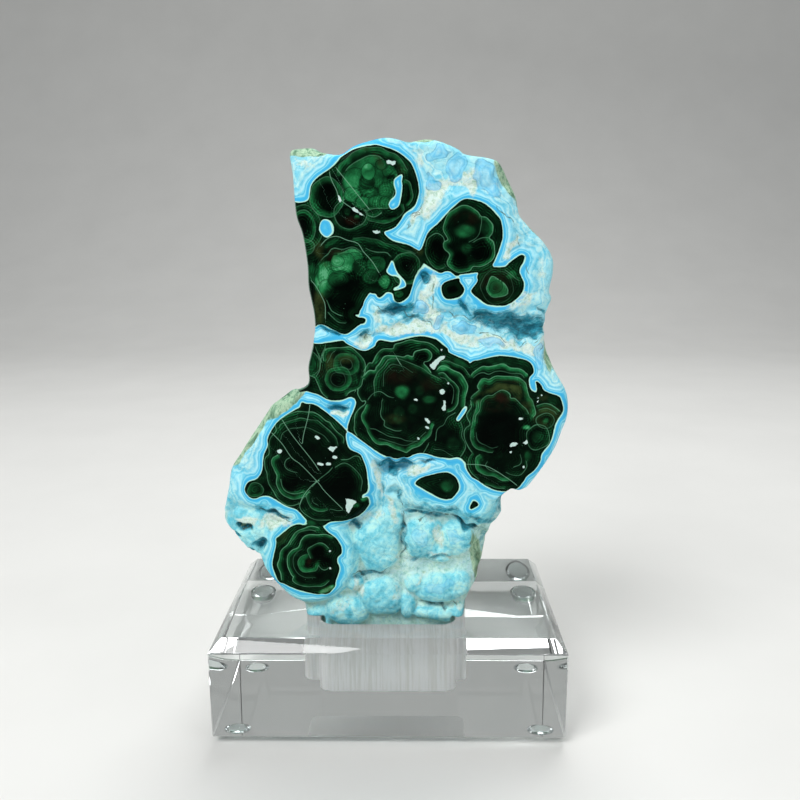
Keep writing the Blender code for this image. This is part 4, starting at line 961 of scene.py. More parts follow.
@dataclass
class StonePattern:
    """Where each mineral lies on the stone, as numbers at each of its points."""

    layers: int = 3  # growth lines near each other are kept in different layers
    sway: float = 0.24  # mm that the growth lines wander
    line_fade: tuple = (0.62, 0.46)  # mm from a growth line where its strength is none and full
    bubble_edge: float = -0.6

    def islands(self, at: Array) -> Array:
        """Signed distance to the malachite's edge, positive inside it.

        Args:
            at: (n, 2) places.

        Returns:
            n distances in mm.
        """
        inside = np.full(len(at), -FAR)
        for points in ISLANDS:
            inside = np.maximum(inside, loop_distance(at, spread(points, 0.5)))
        for points in INCLUSIONS:
            inside = np.minimum(inside, -loop_distance(at, spread(points, 0.35)))
        return inside

    def growth(self, at: Array) -> dict[str, Array]:
        """The malachite's brightness and its growth lines.

        A line is kept as the signed distance to it and its strength, so that it can be drawn finer than
        the points are spaced.

        Args:
            at: (n, 2) places.

        Returns:
            n values by attribute name.
        """
        at = wander(at, self.sway, 2.6, 31)
        tone = np.zeros(len(at))
        side = np.full((self.layers, len(at)), NEAR)
        power = np.zeros((self.layers, len(at)))
        lines = [(line, band, width, line_side(at, spread(points, 0.6, closed=False)))
                 for line, band, width, points in ARCS]
        lines += [(line, band, width, loop_distance(at, spread(points, 0.6)))
                  for line, band, width, points in LOOPS]
        lines += [(line, band, width, rounds(at, *ellipse)) for line, band, width, *ellipse in RINGS]
        for number, (line, band, width, signed) in enumerate(lines):
            across = signed * math.copysign(1.0, width)
            soft = band * smoothstep(-0.25, 0.1, across) * np.exp(-0.9 * (across / width) ** 2)
            tone = np.maximum(tone, soft)
            self.draw(side[number % self.layers], power[number % self.layers], signed, line)
        for number, (*ellipse, middle, rim) in enumerate(DISCS):
            share = ellipse_share(at, *ellipse)
            signed = rounds(at, *ellipse)
            cover = smoothstep(-0.1, 0.25, signed)
            tone += cover * (middle + (rim - middle) * np.minimum(share, 1.0) ** 2 - tone)
            power *= 1.0 - cover
            side[:, cover > 0.5] = NEAR
            self.draw(side[number % self.layers], power[number % self.layers], signed, self.bubble_edge)
        tone = np.maximum(tone, patches(at, GLOWS)) * (1.0 - patches(at, SHADES, 0.3))
        values = {"tone": tone}
        for layer in range(self.layers):
            values[f"side_{layer}"] = side[layer]
            values[f"power_{layer}"] = power[layer]
        return values

    def draw(self, side: Array, power: Array, signed: Array, line: float) -> None:
        """Add a line to its layer where it is the nearest.

        Args:
            side: n signed distances to the layer's nearest line, changed in place.
            power: n strengths of it, changed in place.
            signed: n signed distances to the new line.
            line: The new line's strength: dark when negative.
        """
        nearer = np.abs(signed) < np.abs(side)
        side[nearer] = signed[nearer]
        power[nearer] = (line * smoothstep(*self.line_fade, np.abs(signed)))[nearer]

    @staticmethod
    def chips(at: Array) -> Array:
        """Signed distance to the nearest chip, positive inside it.

        Args:
            at: (n, 2) places.

        Returns:
            n distances in mm.
        """
        found = [loop_distance(at, np.array(points), 2.0) for points in CHIPS]
        return np.max(found + [rounds(at, *chip) for chip in ROUND_CHIPS], axis=0)

    @staticmethod
    def cracks(at: Array, lines: Iterable[Points]) -> Array:
        """Signed distance to the nearest of some lines.

        Args:
            at: (n, 2) places.
            lines: The points of each line.

        Returns:
            n distances in mm.
        """
        nearest = np.full(len(at), NEAR)
        for points in lines:
            side = line_side(at, spread(points, 1.0, closed=False))
            nearest = np.where(np.abs(side) < np.abs(nearest), side, nearest)
        return nearest

    def values(self, at: Array, edge: Array, surface: Surface, depth: Array) -> dict[str, Array]:
        """Every number that the stone's finish reads.

        Args:
            at: (n, 2) places.
            edge: n distances to the outline.
            surface: Which way these points face.
            depth: n depths in mm.

        Returns:
            n values by attribute name.
        """
        inside = self.islands(at)
        wild = np.zeros(len(at))
        bent = wander(at, *CURL)
        if surface is Surface.SIDE:
            solid = lift(at, depth)
            ragged = 4.0 + 5.0 * waves(solid, 14.0, 21) + 1.6 * waves(solid, 4.0, 22)
            inside = inside - 0.45 * np.maximum(depth - ragged, 0.0)
            wild = smoothstep(1.0, 7.0, depth + 1.5 * waves(solid, 5.0, 23))
        elif surface is Surface.BACK:
            inside = np.full(len(at), -FAR)
            wild = np.ones(len(at))
        away = 20.0 * (wild > 0)  # keeps chips, cracks, seams and eyes off the natural faces
        return {
            "inside": inside,
            **self.growth(at),
            "brown": patches(at, BROWNS, 0.6) - patches(at, OLIVES, 0.6),
            "chip": self.chips(at) - away,
            "crack": self.cracks(at, CRACKS) + away,
            "seam": self.cracks(bent, SEAMS) + away,
            "eye": np.max([rounds(bent, *eye) for eye in EYES], axis=0) - away,
            "cream": patches(bent, CREAMS, 0.6) * (1.0 - wild),
            # painted shade in the hollows and under the lumps
            "hollow_shade": patches(bent, HOLLOW_SHADES, 0.5) * (1.0 - wild),
            "crust": np.maximum(patches(at, CRUSTS, 0.4), 0.75 * wild),
            "edge": edge,
            "wild": wild,
            "raw": 1.0 - smoothstep(60.0, 76.0, at[:, 1]) * (1.0 - wild),
            "deep": np.clip(depth, 0.0, 8.0) * (1.0 - wild),
        }


def tint(code: str) -> tuple:
    """A colour for a shader, from six hexadecimal digits of sRGB.

    Args:
        code: The digits.

    Returns:
        Linear red, green, blue and alpha.
    """
    parts = [int(code[index:index + 2], 16) / 255 for index in (0, 2, 4)]
    linear = [part / 12.92 if part <= 0.04045 else ((part + 0.055) / 1.055) ** 2.4 for part in parts]
    return (*linear, 1.0)


class Signal:
    """An output in a material's node tree. Arithmetic on it adds nodes."""

    def __init__(self, recipe: "Recipe", socket: bpy.types.NodeSocket) -> None:
        """Keep the output and its material."""
        self.recipe, self.socket = recipe, socket

    def __add__(self, other: "Value") -> "Signal":
        """The sum."""
        return self.recipe.math("ADD", self, other)

    def __sub__(self, other: "Value") -> "Signal":
        """The difference."""
        return self.recipe.math("SUBTRACT", self, other)

    def __mul__(self, other: "Value") -> "Signal":
        """The product."""
        return self.recipe.math("MULTIPLY", self, other)

    def __neg__(self) -> "Signal":
        """The opposite."""
        return self * -1.0

    def __abs__(self) -> "Signal":
        """The size without its sign."""
        return self.recipe.math("ABSOLUTE", self)

    def most(self, other: "Value") -> "Signal":
        """The larger of the two."""
        return self.recipe.math("MAXIMUM", self, other)

    def fraction(self) -> "Signal":
        """What is left after the whole number."""
        return self.recipe.math("FRACT", self)

    def step(self, none: float, full: float) -> "Signal":
        """A smooth step of the value.

        Args:
            none: Where it gives 0.
            full: Where it gives 1, above or below that.

        Returns:
            The step.
        """
        return self.recipe.node("ShaderNodeMapRange", {
            "Value": self, "From Min": min(none, full), "From Max": max(none, full),
            "To Min": float(none > full), "To Max": float(none < full)}, interpolation_type="SMOOTHSTEP")


Value = Union[Signal, float, str, tuple]


class Recipe:
    """A material under construction: a Principled shader and short ways to add nodes before it."""

    def __init__(self, name: str) -> None:
        """Start the material.

        Args:
            name: Its name.
        """
        self.material = bpy.data.materials.new(name)
        self.material.use_nodes = True
        self.tree = self.material.node_tree
        self.shader = self.tree.nodes["Principled BSDF"]
        self.place = self.node("ShaderNodeTexCoord", {}, "Object")

    def node(self, kind: str, inputs: dict, output: Union[int, str] = 0,
             **settings: str) -> Signal:
        """A new node.

        Args:
            kind: The node's type.
            inputs: What its inputs are fed, by name or number.
            output: Name or number of the output that is wanted.
            settings: The node's own settings.

        Returns:
            That output.
        """
        node = self.tree.nodes.new(kind)
        for name, value in settings.items():
            setattr(node, name, value)
        for name, value in inputs.items():
            self.feed(node.inputs[name], value)
        return Signal(self, node.outputs[output])

    def feed(self, socket: bpy.types.NodeSocket, value: Value) -> None:
        """Link a socket to a signal, or set it to a constant.

        Args:
            socket: The socket.
            value: A signal, a number, a vector or a colour's code.
        """
        if isinstance(value, Signal):
            self.tree.links.new(value.socket, socket)
        else:
            socket.default_value = tint(value) if isinstance(value, str) else value

    def attribute(self, name: str) -> Signal:
        """A number stored on the mesh's points."""
        return self.node("ShaderNodeAttribute", {}, "Fac", attribute_name=name)

    def math(self, operation: str, *values: Value) -> Signal:
        """One step of arithmetic."""
        return self.node("ShaderNodeMath", dict(enumerate(values)), operation=operation)

    def noise(self, size: float, detail: float = 2.0, rough: float = 0.5, warp: float = 0.0,
              stretch: Optional[tuple] = None, output: str = "Fac") -> Signal:
        """Procedural noise.

        Args:
            size: Size of its largest features, in mm.
            detail: Octaves.
            rough: How strong the fine octaves are.
            warp: Distortion.
            stretch: How the place is scaled before the noise.
            output: "Fac" or "Color".

        Returns:
            The noise.
        """
        place = self.place
        if stretch is not None:
            place = self.node("ShaderNodeMapping", {"Vector": place, "Scale": stretch})
        inputs = {"Vector": place, "Scale": 1.0 / (MM * size), "Detail": detail, "Roughness": rough,
                  "Distortion": warp}
        return self.node("ShaderNodeTexNoise", inputs, output)

    def cells(self, size: float, feature: str = "F1", shift: Optional[Signal] = None) -> Signal:
        """Voronoi cells.

        Args:
            size: Size of a cell, in mm.
            feature: "F1", or "DISTANCE_TO_EDGE".
            shift: A colour that pushes the place about.

        Returns:
            The distance, as a share of the size.
        """
        place = self.place
        if shift is not None:
            far = (0.6 * MM * size,) * 3
            place = self.node("ShaderNodeVectorMath", {0: shift, 1: far, 2: place}, operation="MULTIPLY_ADD")
        inputs = {"Vector": place, "Scale": 1.0 / (MM * size)}
        return self.node("ShaderNodeTexVoronoi", inputs, "Distance", feature=feature)

    def ramp(self, value: Signal, *stops: tuple) -> Signal:
        """Colours by value.

        Args:
            value: The value.
            stops: The position and colour code of each.

        Returns:
            The colour.
        """
        colour = self.node("ShaderNodeValToRGB", {"Fac": value}, "Color")
        elements = colour.socket.node.color_ramp.elements
        elements.remove(elements[-1])
        elements[0].position, elements[0].color = stops[0][0], tint(stops[0][1])
        for position, code in stops[1:]:
            elements.new(position).color = tint(code)
        return colour

    def mix(self, first: Value, second: Value, share: Value) -> Signal:
        """A second colour laid over the first by a share, which is held between 0 and 1."""
        return self.node("ShaderNodeMix", {"Factor": share, 6: first, 7: second}, 2, data_type="RGBA")

    def scale(self, colour: Signal, by: Signal, strength: float) -> Signal:
        """A colour multiplied by another and by a number."""
        both = self.node("ShaderNodeVectorMath", {0: colour, 1: by}, operation="MULTIPLY")
        return self.node("ShaderNodeVectorMath", {0: both, "Scale": strength}, operation="SCALE")

    def bump(self, height: Signal, distance: float, strength: Value,
             under: Optional[Signal] = None) -> Signal:
        """A bump.

        Args:
            height: Its height.
            distance: How high 1 is, in mm.
            strength: How much of it shows.
            under: An earlier bump that it lies over.

        Returns:
            The normal.
        """
        inputs = {"Distance": distance * MM, "Strength": strength, "Height": height}
        if under is not None:
            inputs["Normal"] = under
        return self.node("ShaderNodeBump", inputs)

    def finish(self, **sockets: Value) -> bpy.types.Material:
        """Feed the shader's sockets, named with _ for spaces.

        Args:
            sockets: What each is fed.

        Returns:
            The material.
        """
        for name, value in sockets.items():
            self.feed(self.shader.inputs[name.replace("_", " ")], value)
        return self.material


@dataclass(frozen=True)
class MalachiteFinish:
    """Polished malachite: near-black green with lighter bands, bubbles and thin growth lines."""

    ramp: tuple = (
        (0.00, "010302"), (0.08, "020905"), (0.25, "092413"), (0.45, "144c2a"), (0.65, "1f6e3f"),
        (0.85, "348a56"), (1.00, "58a678"),
    )
    layers: int = 3
    pale_line: str = "68ad84"
    dark_line: str = "020503"
    line_half: float = 0.17  # half the width of a growth line, in mm
    dust: str = "5f9a78"
    threads_in_mm: float = 1.55

    def colour(self, recipe: Recipe) -> Signal:
        """Build the colour.

        Args:
            recipe: The stone's material.

        Returns:
            The colour.
        """
        inside = recipe.attribute("inside")
        bubble = recipe.cells(2.4, shift=recipe.noise(5.0, output="Color")) * -0.60 + 1.24
        mottle = recipe.noise(1.9, 5.0, 0.65) * 0.9 + 0.6
        skirt = inside.step(0.2, 0.6) * inside.step(2.6, 0.9)
        ground = recipe.noise(8.0, 4.0, 0.6).step(0.42, 0.70) * 0.08 + skirt * mottle * 0.14
        tone = (recipe.attribute("tone") * bubble * mottle).most(ground) + self.threads(recipe, inside, 4.5)
        sides = [recipe.attribute(f"side_{layer}") for layer in range(self.layers)]
        for side in sides:
            tone = tone + self.threads(recipe, side, 2.9)
        colour = recipe.ramp(tone, *self.ramp)
        stain = recipe.attribute("brown") * recipe.noise(3.0, 4.0).step(0.30, 0.62)
        colour = recipe.mix(colour, recipe.mix("150d09", "3a261a", recipe.noise(2.0, 4.0)), stain * 0.60)
        colour = recipe.mix(colour, recipe.mix("18220c", "56693a", recipe.noise(1.6, 4.0)), stain * -0.62)
        broken = recipe.noise(4.0, 3.0).step(0.30, 0.62) * 0.55 + 0.45
        for layer, side in enumerate(sides):
            line = abs(side).step(self.line_half, 0.04) * recipe.attribute(f"power_{layer}")
            colour = recipe.mix(colour, self.pale_line, line * broken * 0.92)
            colour = recipe.mix(colour, self.dark_line, -line)
        dust = recipe.cells(1.1).step(0.10, 0.05) * recipe.noise(5.0).step(0.56, 0.64)
        return recipe.mix(colour, self.dust, dust * 0.5)

    def threads(self, recipe: Recipe, distance: Signal, reach: float) -> Signal:
        """Faint fine lines alongside a growth line.

        Args:
            recipe: The stone's material.
            distance: The distance to the line, in mm.
            reach: How far from the line they go, in mm.

        Returns:
            How much brighter they make the malachite.
        """
        off = abs(distance)
        wave = ((recipe.noise(3.0, 3.0) * 0.7 + off) * self.threads_in_mm).fraction()
        thread = wave.step(0.22, 0.5) * wave.step(0.78, 0.5)
        near = off.step(reach, 0.6 * reach) * off.step(0.2, 0.5)
        return thread * near * recipe.noise(4.5, 3.0).step(0.36, 0.66) * 0.17


@dataclass(frozen=True)
class ChrysocollaFinish:
    """Blue chrysocolla: a bright rim along the malachite, pale and cream ground, teal painted shade in
    hollows.
    """

    reach: float = 8.0  # mm from the malachite that the rim's ramp covers
    rim: tuple = (
        (0.00, "9ad6bd"), (0.20, "bfe8d8"), (0.34, "56b8de"), (0.75, "3eacdc"), (1.10, "4ab8e0"),
        (1.40, "8fd9ea"), (1.62, "50b2d6"), (1.85, "74cde4"), (2.30, "b2e6f0"), (2.90, "86d3ea"),
        (3.40, "5cbcdd"), (4.00, "a2e0ee"), (4.60, "cdf1ef"), (5.20, "8fd6ea"), (5.70, "5fbcdc"),
        (6.30, "a9e3ee"), (6.90, "d8f3ee"), (7.40, "7fcde6"), (8.00, "9fdcea"),
    )
    clouds: tuple = (
        (0.30, "2f93a8"), (0.40, "57b9cf"), (0.47, "7ccfe0"), (0.53, "a9e3ea"), (0.58, "c4ede6"),
        (0.63, "8fd7e2"), (0.74, "4fb6d0"),
    )
    grain: tuple = (
        (0.32, "2f93ad"), (0.44, "66c0d8"), (0.52, "a8e2ea"), (0.60, "cdeee4"), (0.70, "a2dde4"),
    )
    cream: tuple = ((0.34, "a3bd9c"), (0.44, "cfe0c6"), (0.54, "eef6e8"), (0.66, "d9efe6"))
    eye: tuple = ((0.10, "3fb2ea"), (0.30, "8cdcfa"), (0.42, "52bdf0"), (0.70, "a4e4fb"))
    eye_edge: str = "2b88ac"
    # dark teal painted shade for the hollows
    hollow_shade: tuple = ((0.36, "0b525c"), (0.46, "147286"), (0.54, "2592aa"), (0.64, "52b4c2"))
    veins: str = "3f9db4"
    brightness: float = 1.14

    def colour(self, recipe: Recipe) -> Signal:
        """Build the colour.

        Args:
            recipe: The stone's material.

        Returns:
            The colour.
        """
        raw = recipe.attribute("raw")
        outside = -recipe.attribute("inside")
        far = outside.step(0.9, 4.0)
        colour = self.ground(recipe, outside, far, raw)
        crease = (recipe.noise(2.2, 4.0, 0.6) * 2.4 + recipe.attribute("deep")).step(3.5, 4.9) * raw
        cream = self.frayed(recipe, "cream", 5.0, 0.65, 0.0).step(0.20, 0.80) * 0.80
        cream_tone = recipe.ramp(recipe.noise(1.1, 5.0, 0.7), *self.cream)
        colour = recipe.mix(colour, cream_tone, cream.most(crease * 0.50))
        colour = self.eyes(recipe, colour, raw)
        # dark teal painted shade in the hollows and under the lumps
        hollow_shade = self.frayed(recipe, "hollow_shade", 6.0, 0.68, 0.5).step(0.15, 0.85)
        hollow_shade_tone = recipe.ramp(recipe.noise(1.6, 5.0, 0.7, stretch=(0.5, 1.0, 1.3)), *self.hollow_shade)
        colour = recipe.mix(colour, hollow_shade_tone, hollow_shade * 0.92)
        seam = abs(recipe.noise(1.0, 4.0, 0.65) * 0.7 + recipe.attribute("seam") - 0.35).step(0.24, 0.04)
        seam = seam * recipe.noise(2.6, 3.0).step(0.38, 0.56)
        colour = recipe.mix(colour, recipe.mix("1d4a4c", "6b6a4c", recipe.noise(3.0, 3.0)), seam * 0.75)
        drift = recipe.noise(4.0, 3.0, output="Color")
        veins = recipe.cells(6.5, "DISTANCE_TO_EDGE", drift).step(0.03, 0.0) * far
        return recipe.mix(colour, self.veins, veins * 0.25)

    def ground(self, recipe: Recipe, outside: Signal, far: Signal, raw: Signal) -> Signal:
        """The blue ground: rims along the malachite that turn into clouds away from it.

        Args:
            recipe: The stone's material.
            outside: Distance to the malachite, in mm.
            far: 0 along the malachite, and 1 away from it.
            raw: How rough the surface is.

        Returns:
            The colour.
        """
        sway = recipe.noise(5.0, 5.0, 0.6, 0.8) * 8.0 - 4.0
        width = recipe.noise(7.0) * 3.4 - 0.45
        place = (outside * width + sway * far) * (1.0 / self.reach)
        colour = recipe.ramp(place, *((position / self.reach, code) for position, code in self.rim))
        clouds = recipe.ramp(recipe.noise(7.0, 6.0, 0.58, 0.8), *self.clouds)
        colour = recipe.mix(colour, clouds, outside.step(1.4, 3.6) * (raw * 0.35 + 0.45))
        grain = recipe.ramp(recipe.noise(1.5, 5.0, 0.65, 0.4), *self.grain)
        colour = recipe.mix(colour, grain, outside.step(0.8, 3.0) * (raw * 0.18 + 0.1))
        return recipe.scale(colour, recipe.mix("ffffff", "f6fffb", raw), self.brightness)

    def eyes(self, recipe: Recipe, colour: Signal, raw: Signal) -> Signal:
        """Blue spots with a thin darker edge, laid over a colour.

        Args:
            recipe: The stone's material.
            colour: The colour under them.
            raw: How rough the surface is, where they show less.

        Returns:
            The colour.
        """
        eye = recipe.noise(1.2, 3.0) * 0.5 + recipe.attribute("eye")
        mild = raw * -0.30 + 0.62
        colour = recipe.mix(colour, recipe.ramp(eye * 0.4, *self.eye), eye.step(0.10, 0.45) * mild)
        edge = abs(eye - 0.25).step(0.16, 0.05) * recipe.noise(2.2, 3.0).step(0.36, 0.60)
        return recipe.mix(colour, self.eye_edge, edge * mild * 0.75)

    @staticmethod
    def frayed(recipe: Recipe, name: str, detail: float, rough: float, warp: float) -> Signal:
        """A number stored on the points, its edges frayed by noise."""
        return recipe.attribute(name) + recipe.noise(1.8, detail, rough, warp) * 1.6 - 0.8


@dataclass(frozen=True)
class CrustFinish:
    """The pale grey-green skin of the stone's sides and back."""

    green: tuple = ((0.34, "3f5f49"), (0.42, "6f967b"), (0.49, "93ba9c"), (0.56, "bcdabb"), (0.64, "7fae8f"))
    blue: tuple = ((0.40, "8cc4b4"), (0.50, "5fb4bf"), (0.62, "3f9fbc"))
    speck: str = "2f5b4e"

    def colour(self, recipe: Recipe) -> Signal:
        """Build the colour.

        Args:
            recipe: The stone's material.

        Returns:
            The colour.
        """
        fibres = recipe.noise(4.0, 6.0, 0.7, 0.5, stretch=(1.6, 1.0, 0.7))
        earth = recipe.noise(11.0, 5.0, 0.6).step(0.50, 0.68)
        earth_tone = recipe.mix("6e7f63", "b6b896", recipe.noise(2.5, 5.0, 0.65))
        colour = recipe.mix(recipe.ramp(fibres, *self.green), earth_tone, earth * 0.6)
        blue = recipe.noise(15.0, 4.0).step(0.50, 0.66) * recipe.attribute("wild")
        colour = recipe.mix(colour, recipe.ramp(recipe.noise(9.0, 5.0, 0.6), *self.blue), blue)
        return recipe.mix(colour, self.speck, recipe.cells(1.3).step(0.34, 0.14) * 0.30)


@dataclass(frozen=True)
class StoneFinish:
    """The whole stone: three minerals, chips and cracks, polished in front and natural elsewhere."""

    malachite: MalachiteFinish = MalachiteFinish()
    chrysocolla: ChrysocollaFinish = ChrysocollaFinish()
    crust: CrustFinish = CrustFinish()
    # pale along the outline: painted edge highlight and wear
    edge_sheen_and_wear: str = "7fae96"
    crack: str = "7fb597"
    polish: float = 0.14  # roughness of the polished plane
    shine: float = 0.015

    def material(self) -> bpy.types.Material:
        """Build the material.

        Returns:
            The material.
        """
        recipe = Recipe("polished_stone")
        inside = recipe.attribute("inside") + (recipe.noise(1.3) * 0.30 - 0.15)
        green = inside.step(-0.07, 0.07)
        crust = (recipe.attribute("crust") + (recipe.noise(2.2, 4.0) * 0.8 - 0.4)).step(0.35, 0.62)
        colour = recipe.mix(self.chrysocolla.colour(recipe), self.crust.colour(recipe), crust)
        colour = recipe.mix(colour, self.malachite.colour(recipe), green)
        # painted highlight and wear along the malachite's outline
        rim_sheen_and_wear = recipe.attribute("edge").step(0.40, 0.12) * green
        colour = recipe.mix(colour, self.edge_sheen_and_wear, rim_sheen_and_wear * 0.6)
        crack = abs(recipe.attribute("crack")).step(0.13, 0.05) * green
        colour = recipe.mix(colour, self.crack, crack * 0.6)
        ragged = recipe.noise(0.8, 3.0, 0.6) * 0.7 - 0.40
        chip = (recipe.attribute("chip") + ragged).step(-0.08, 0.02)
        colour = recipe.mix(colour, recipe.mix("a5d2cb", "e4f3ec", recipe.noise(1.0)), chip)

        natural = inside.step(-0.3, -3.0).most(recipe.attribute("wild")).most(crust).most(chip)
        grain = recipe.bump(recipe.noise(1.5, 6.0, 0.7), 0.50, natural * 0.7)
        grain = recipe.bump(recipe.noise(0.35, 2.0, 0.6), 0.10, natural * 0.6, grain)
        rough = natural * 0.42 + self.polish + (recipe.noise(1.1, 3.0) * 0.10 - 0.05)
        return recipe.finish(Base_Color=colour, Roughness=rough, Normal=grain, IOR=1.5,
                             Specular_IOR_Level=self.shine)


@dataclass(frozen=True)
class AcrylicFinish:
    """Clear acrylic, and the frosted walls that a milling cutter leaves in it."""

    ior: float = 1.49
    streak: float = 0.6  # mm between the cutter's marks

    def clear(self) -> bpy.types.Material:
        """The polished faces.

        Returns:
            The material.
        """
        recipe = Recipe("clear_acrylic")
        faint = recipe.mix("f4fafa", "fbfdfd", recipe.noise(25.0))
        return recipe.finish(Base_Color=faint, Roughness=0.0, IOR=self.ior, Transmission_Weight=1.0)

    def bonded(self) -> bpy.types.Material:
        """Where a foot is stuck on: light goes straight through.

        Returns:
            The material.
        """
        recipe = Recipe("bonded_plastic")
        faint = recipe.mix("f2f7f7", "fbfdfd", recipe.noise(3.0))
        return recipe.finish(Base_Color=faint, Roughness=0.0, IOR=1.0, Transmission_Weight=1.0)

    def frosted(self) -> bpy.types.Material:
        """The pocket's walls and floor, streaked by the cutter.

        Returns:
            The material.
        """
        recipe = Recipe("frosted_acrylic")
        streaks = recipe.noise(self.streak, 4.0, 0.6, stretch=(1.0, 1.0, 0.04))
        colour = recipe.mix("ecece8", "ffffff", streaks.step(0.34, 0.62))
        bump = recipe.bump(recipe.noise(0.3), 0.02, 0.5, recipe.bump(streaks, 0.05, 0.6))
        return recipe.finish(Base_Color=colour, Roughness=streaks * 0.25 + 0.30, Normal=bump, IOR=self.ior,
                             Transmission_Weight=0.18)


@dataclass(frozen=True)
class BumperFinish:
    """Clear, slightly soft plastic."""

    ior: float = 1.5

    def material(self) -> bpy.types.Material:
        """Build the material.

        Returns:
            The material.
        """
        recipe = Recipe("clear_bumper")
        rough = recipe.noise(1.2) * 0.06 + 0.02
        dimple = recipe.bump(recipe.noise(2.0), 0.02, 0.2)
        colour = recipe.mix("eef3f3", "f7fbfb", recipe.noise(3.0))
        return recipe.finish(Base_Color=colour, Roughness=rough, Normal=dimple, IOR=self.ior,
                             Transmission_Weight=1.0)


def loft(rings: Sequence[Array]) -> tuple[Array, list[tuple]]:
    """A closed solid through rings of points, capped at both ends.

    Args:
        rings: The (n, 3) places of each ring.

    Returns:
        The points, and the faces: both caps, then the walls.
    """
    count = len(rings[0])
    total = count * len(rings)
    faces = [tuple(range(count)), tuple(range(total - count, total))]
    for start in range(0, total - count, count):
        for here in range(start, start + count):
            after = start + (here + 1 - start) % count
            faces.append((here, after, after + count, here + count))
    return np.vstack(rings), faces


def level(outline: Points, height: float) -> Array:
    """A ring from an outline seen from above, at a height in mm."""
    return np.column_stack((np.array(outline), np.full(len(outline), height)))


def circle(radius: float, sides: int, x: float = 0.0, y: float = 0.0) -> Array:
    """Points of a circle about (x, y), in mm."""
    turns = np.linspace(0, 2 * math.pi, sides, endpoint=False)
    return np.column_stack((x + radius * np.cos(turns), y + radius * np.sin(turns)))


def make_object(name: str, points: Array, faces: Iterable, materials: Sequence[bpy.types.Material],
                body: Optional[str] = "root") -> bpy.types.Object:
    """A mesh object, its faces turned outwards, that rides on the object's body.

    Args:
        name: The piece's name.
        points: (n, 3) places in mm.
        faces: Corner indices of each face.
        materials: Its materials, in slot order.
        body: The body that it rides on, or None for the studio and for cutters.

    Returns:
        The object.
    """
    mesh = bpy.data.meshes.new(name)
    corners = [tuple(map(int, face)) for face in faces]
    mesh.from_pydata((np.asarray(points, float) * MM).tolist(), [], corners)
    mesh.validate()
    shape = bmesh.new()
    shape.from_mesh(mesh)
    bmesh.ops.recalc_face_normals(shape, faces=shape.faces)
    shape.to_mesh(mesh)
    shape.free()
    for material in materials:
        mesh.materials.append(material)
    made = bpy.data.objects.new(name, mesh)
    bpy.context.scene.collection.objects.link(made)
    if body is not None:
        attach(made, body)
    return made


@dataclass
class Stone:
    """The specimen: one closed mesh with its pattern stored on its points."""

    shape: StoneShape = field(default_factory=StoneShape)
    pattern: StonePattern = field(default_factory=StonePattern)
    finish: StoneFinish = StoneFinish()
    sawn_left: float = -19.0
    sawn_edge: tuple = (103.0, 160.0)  # heights of the sawn left side

    def build(self) -> bpy.types.Object:
        """Build the stone in place of its plain node.

        Returns:
            The stone.
        """
        shape = self.shape
        outline = shape.outline
        count = len(outline)
        inner, inner_edge = shape.lattice(outline, shape.front_step, 0.55 * shape.front_step)
        start = shape.front(outline, np.zeros(count))
        low, high = self.sawn_edge
        sawn = (outline[:, 0] < self.sawn_left) & (outline[:, 1] > low) & (outline[:, 1] < high)
        hidden = outline[:, 1] < BLOCK_TOP + 1.0
        natural = np.where(sawn, 0.15, np.where(hidden, 0.3, 1.0))
        natural = np.mean([np.roll(natural, shift) for shift in range(-7, 8)], axis=0)
        wall = shape.side(start, natural)
        back_loop = wall[-1][:, [0, 2]]
        back, back_edge = shape.lattice(back_loop, shape.back_step, 0.5 * shape.back_step)

        front_points = lift(inner, shape.front(inner, inner_edge))
        back_points = lift(back, shape.back(back, back_edge))
        walls, wall_faces = loft(wall)
        points = np.vstack((walls, front_points, back_points))
        points[:, 1] += FACE_Y
        low, high = (np.array(corner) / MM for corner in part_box("specimen"))
        points = np.clip(points, low, high)

        front_faces = shape.fill(outline, inner)
        front_faces += np.where(front_faces < count, 0, len(walls) - count)
        back_faces = shape.fill(back_loop, back)
        back_faces += np.where(back_faces < count, len(walls) - count, len(walls) + len(inner) - count)
        faces = wall_faces[2:] + list(front_faces) + list(back_faces)

        made = make_object("polished_specimen", points, faces, [self.finish.material()])
        made.data.shade_smooth()
        self.paint(made, wall, inner, inner_edge, front_points[:, 1], back, back_points[:, 1])
        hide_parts("specimen")
        log.info("stone: %d points, %d faces", len(made.data.vertices), len(made.data.polygons))
        return made

    def paint(self, made: bpy.types.Object, wall: Array, inner: Array, inner_edge: Array,
              inner_depth: Array, back: Array, back_depth: Array) -> None:
        """Store the pattern's numbers on the stone's points.

        Args:
            made: The stone.
            wall: Rows of the side wall.
            inner: (n, 2) places on the front.
            inner_edge: Their distances to the outline.
            inner_depth: Their depths.
            back: (n, 2) places on the back.
            back_depth: Their depths.
        """
        side = wall.reshape(-1, 3)
        away = np.abs(side[:, 1] - np.repeat(wall[:1, :, 1], len(wall), axis=0).ravel())
        first = np.tile(self.shape.outline, (len(wall), 1))
        parts = [
            self.pattern.values(first, away, Surface.SIDE, side[:, 1]),
            self.pattern.values(inner, inner_edge, Surface.FRONT, inner_depth),
            self.pattern.values(back, np.full(len(back), FAR), Surface.BACK, back_depth),
        ]
        for name in parts[0]:
            layer = made.data.attributes.new(name, "FLOAT", "POINT")
            numbers = np.concatenate([part[name] for part in parts])
            layer.data.foreach_set("value", numbers.astype(np.float32))


def foot_places() -> dict[str, tuple[float, float]]:
    """The middle of each foot seen from above, in mm."""
    x, y = BLOCK_WIDTH / 2 - FOOT_INSET, BLOCK_DEPTH / 2 - FOOT_INSET
    return {"front_left": (-x, -y), "front_right": (x, -y), "back_left": (-x, y), "back_right": (x, y)}


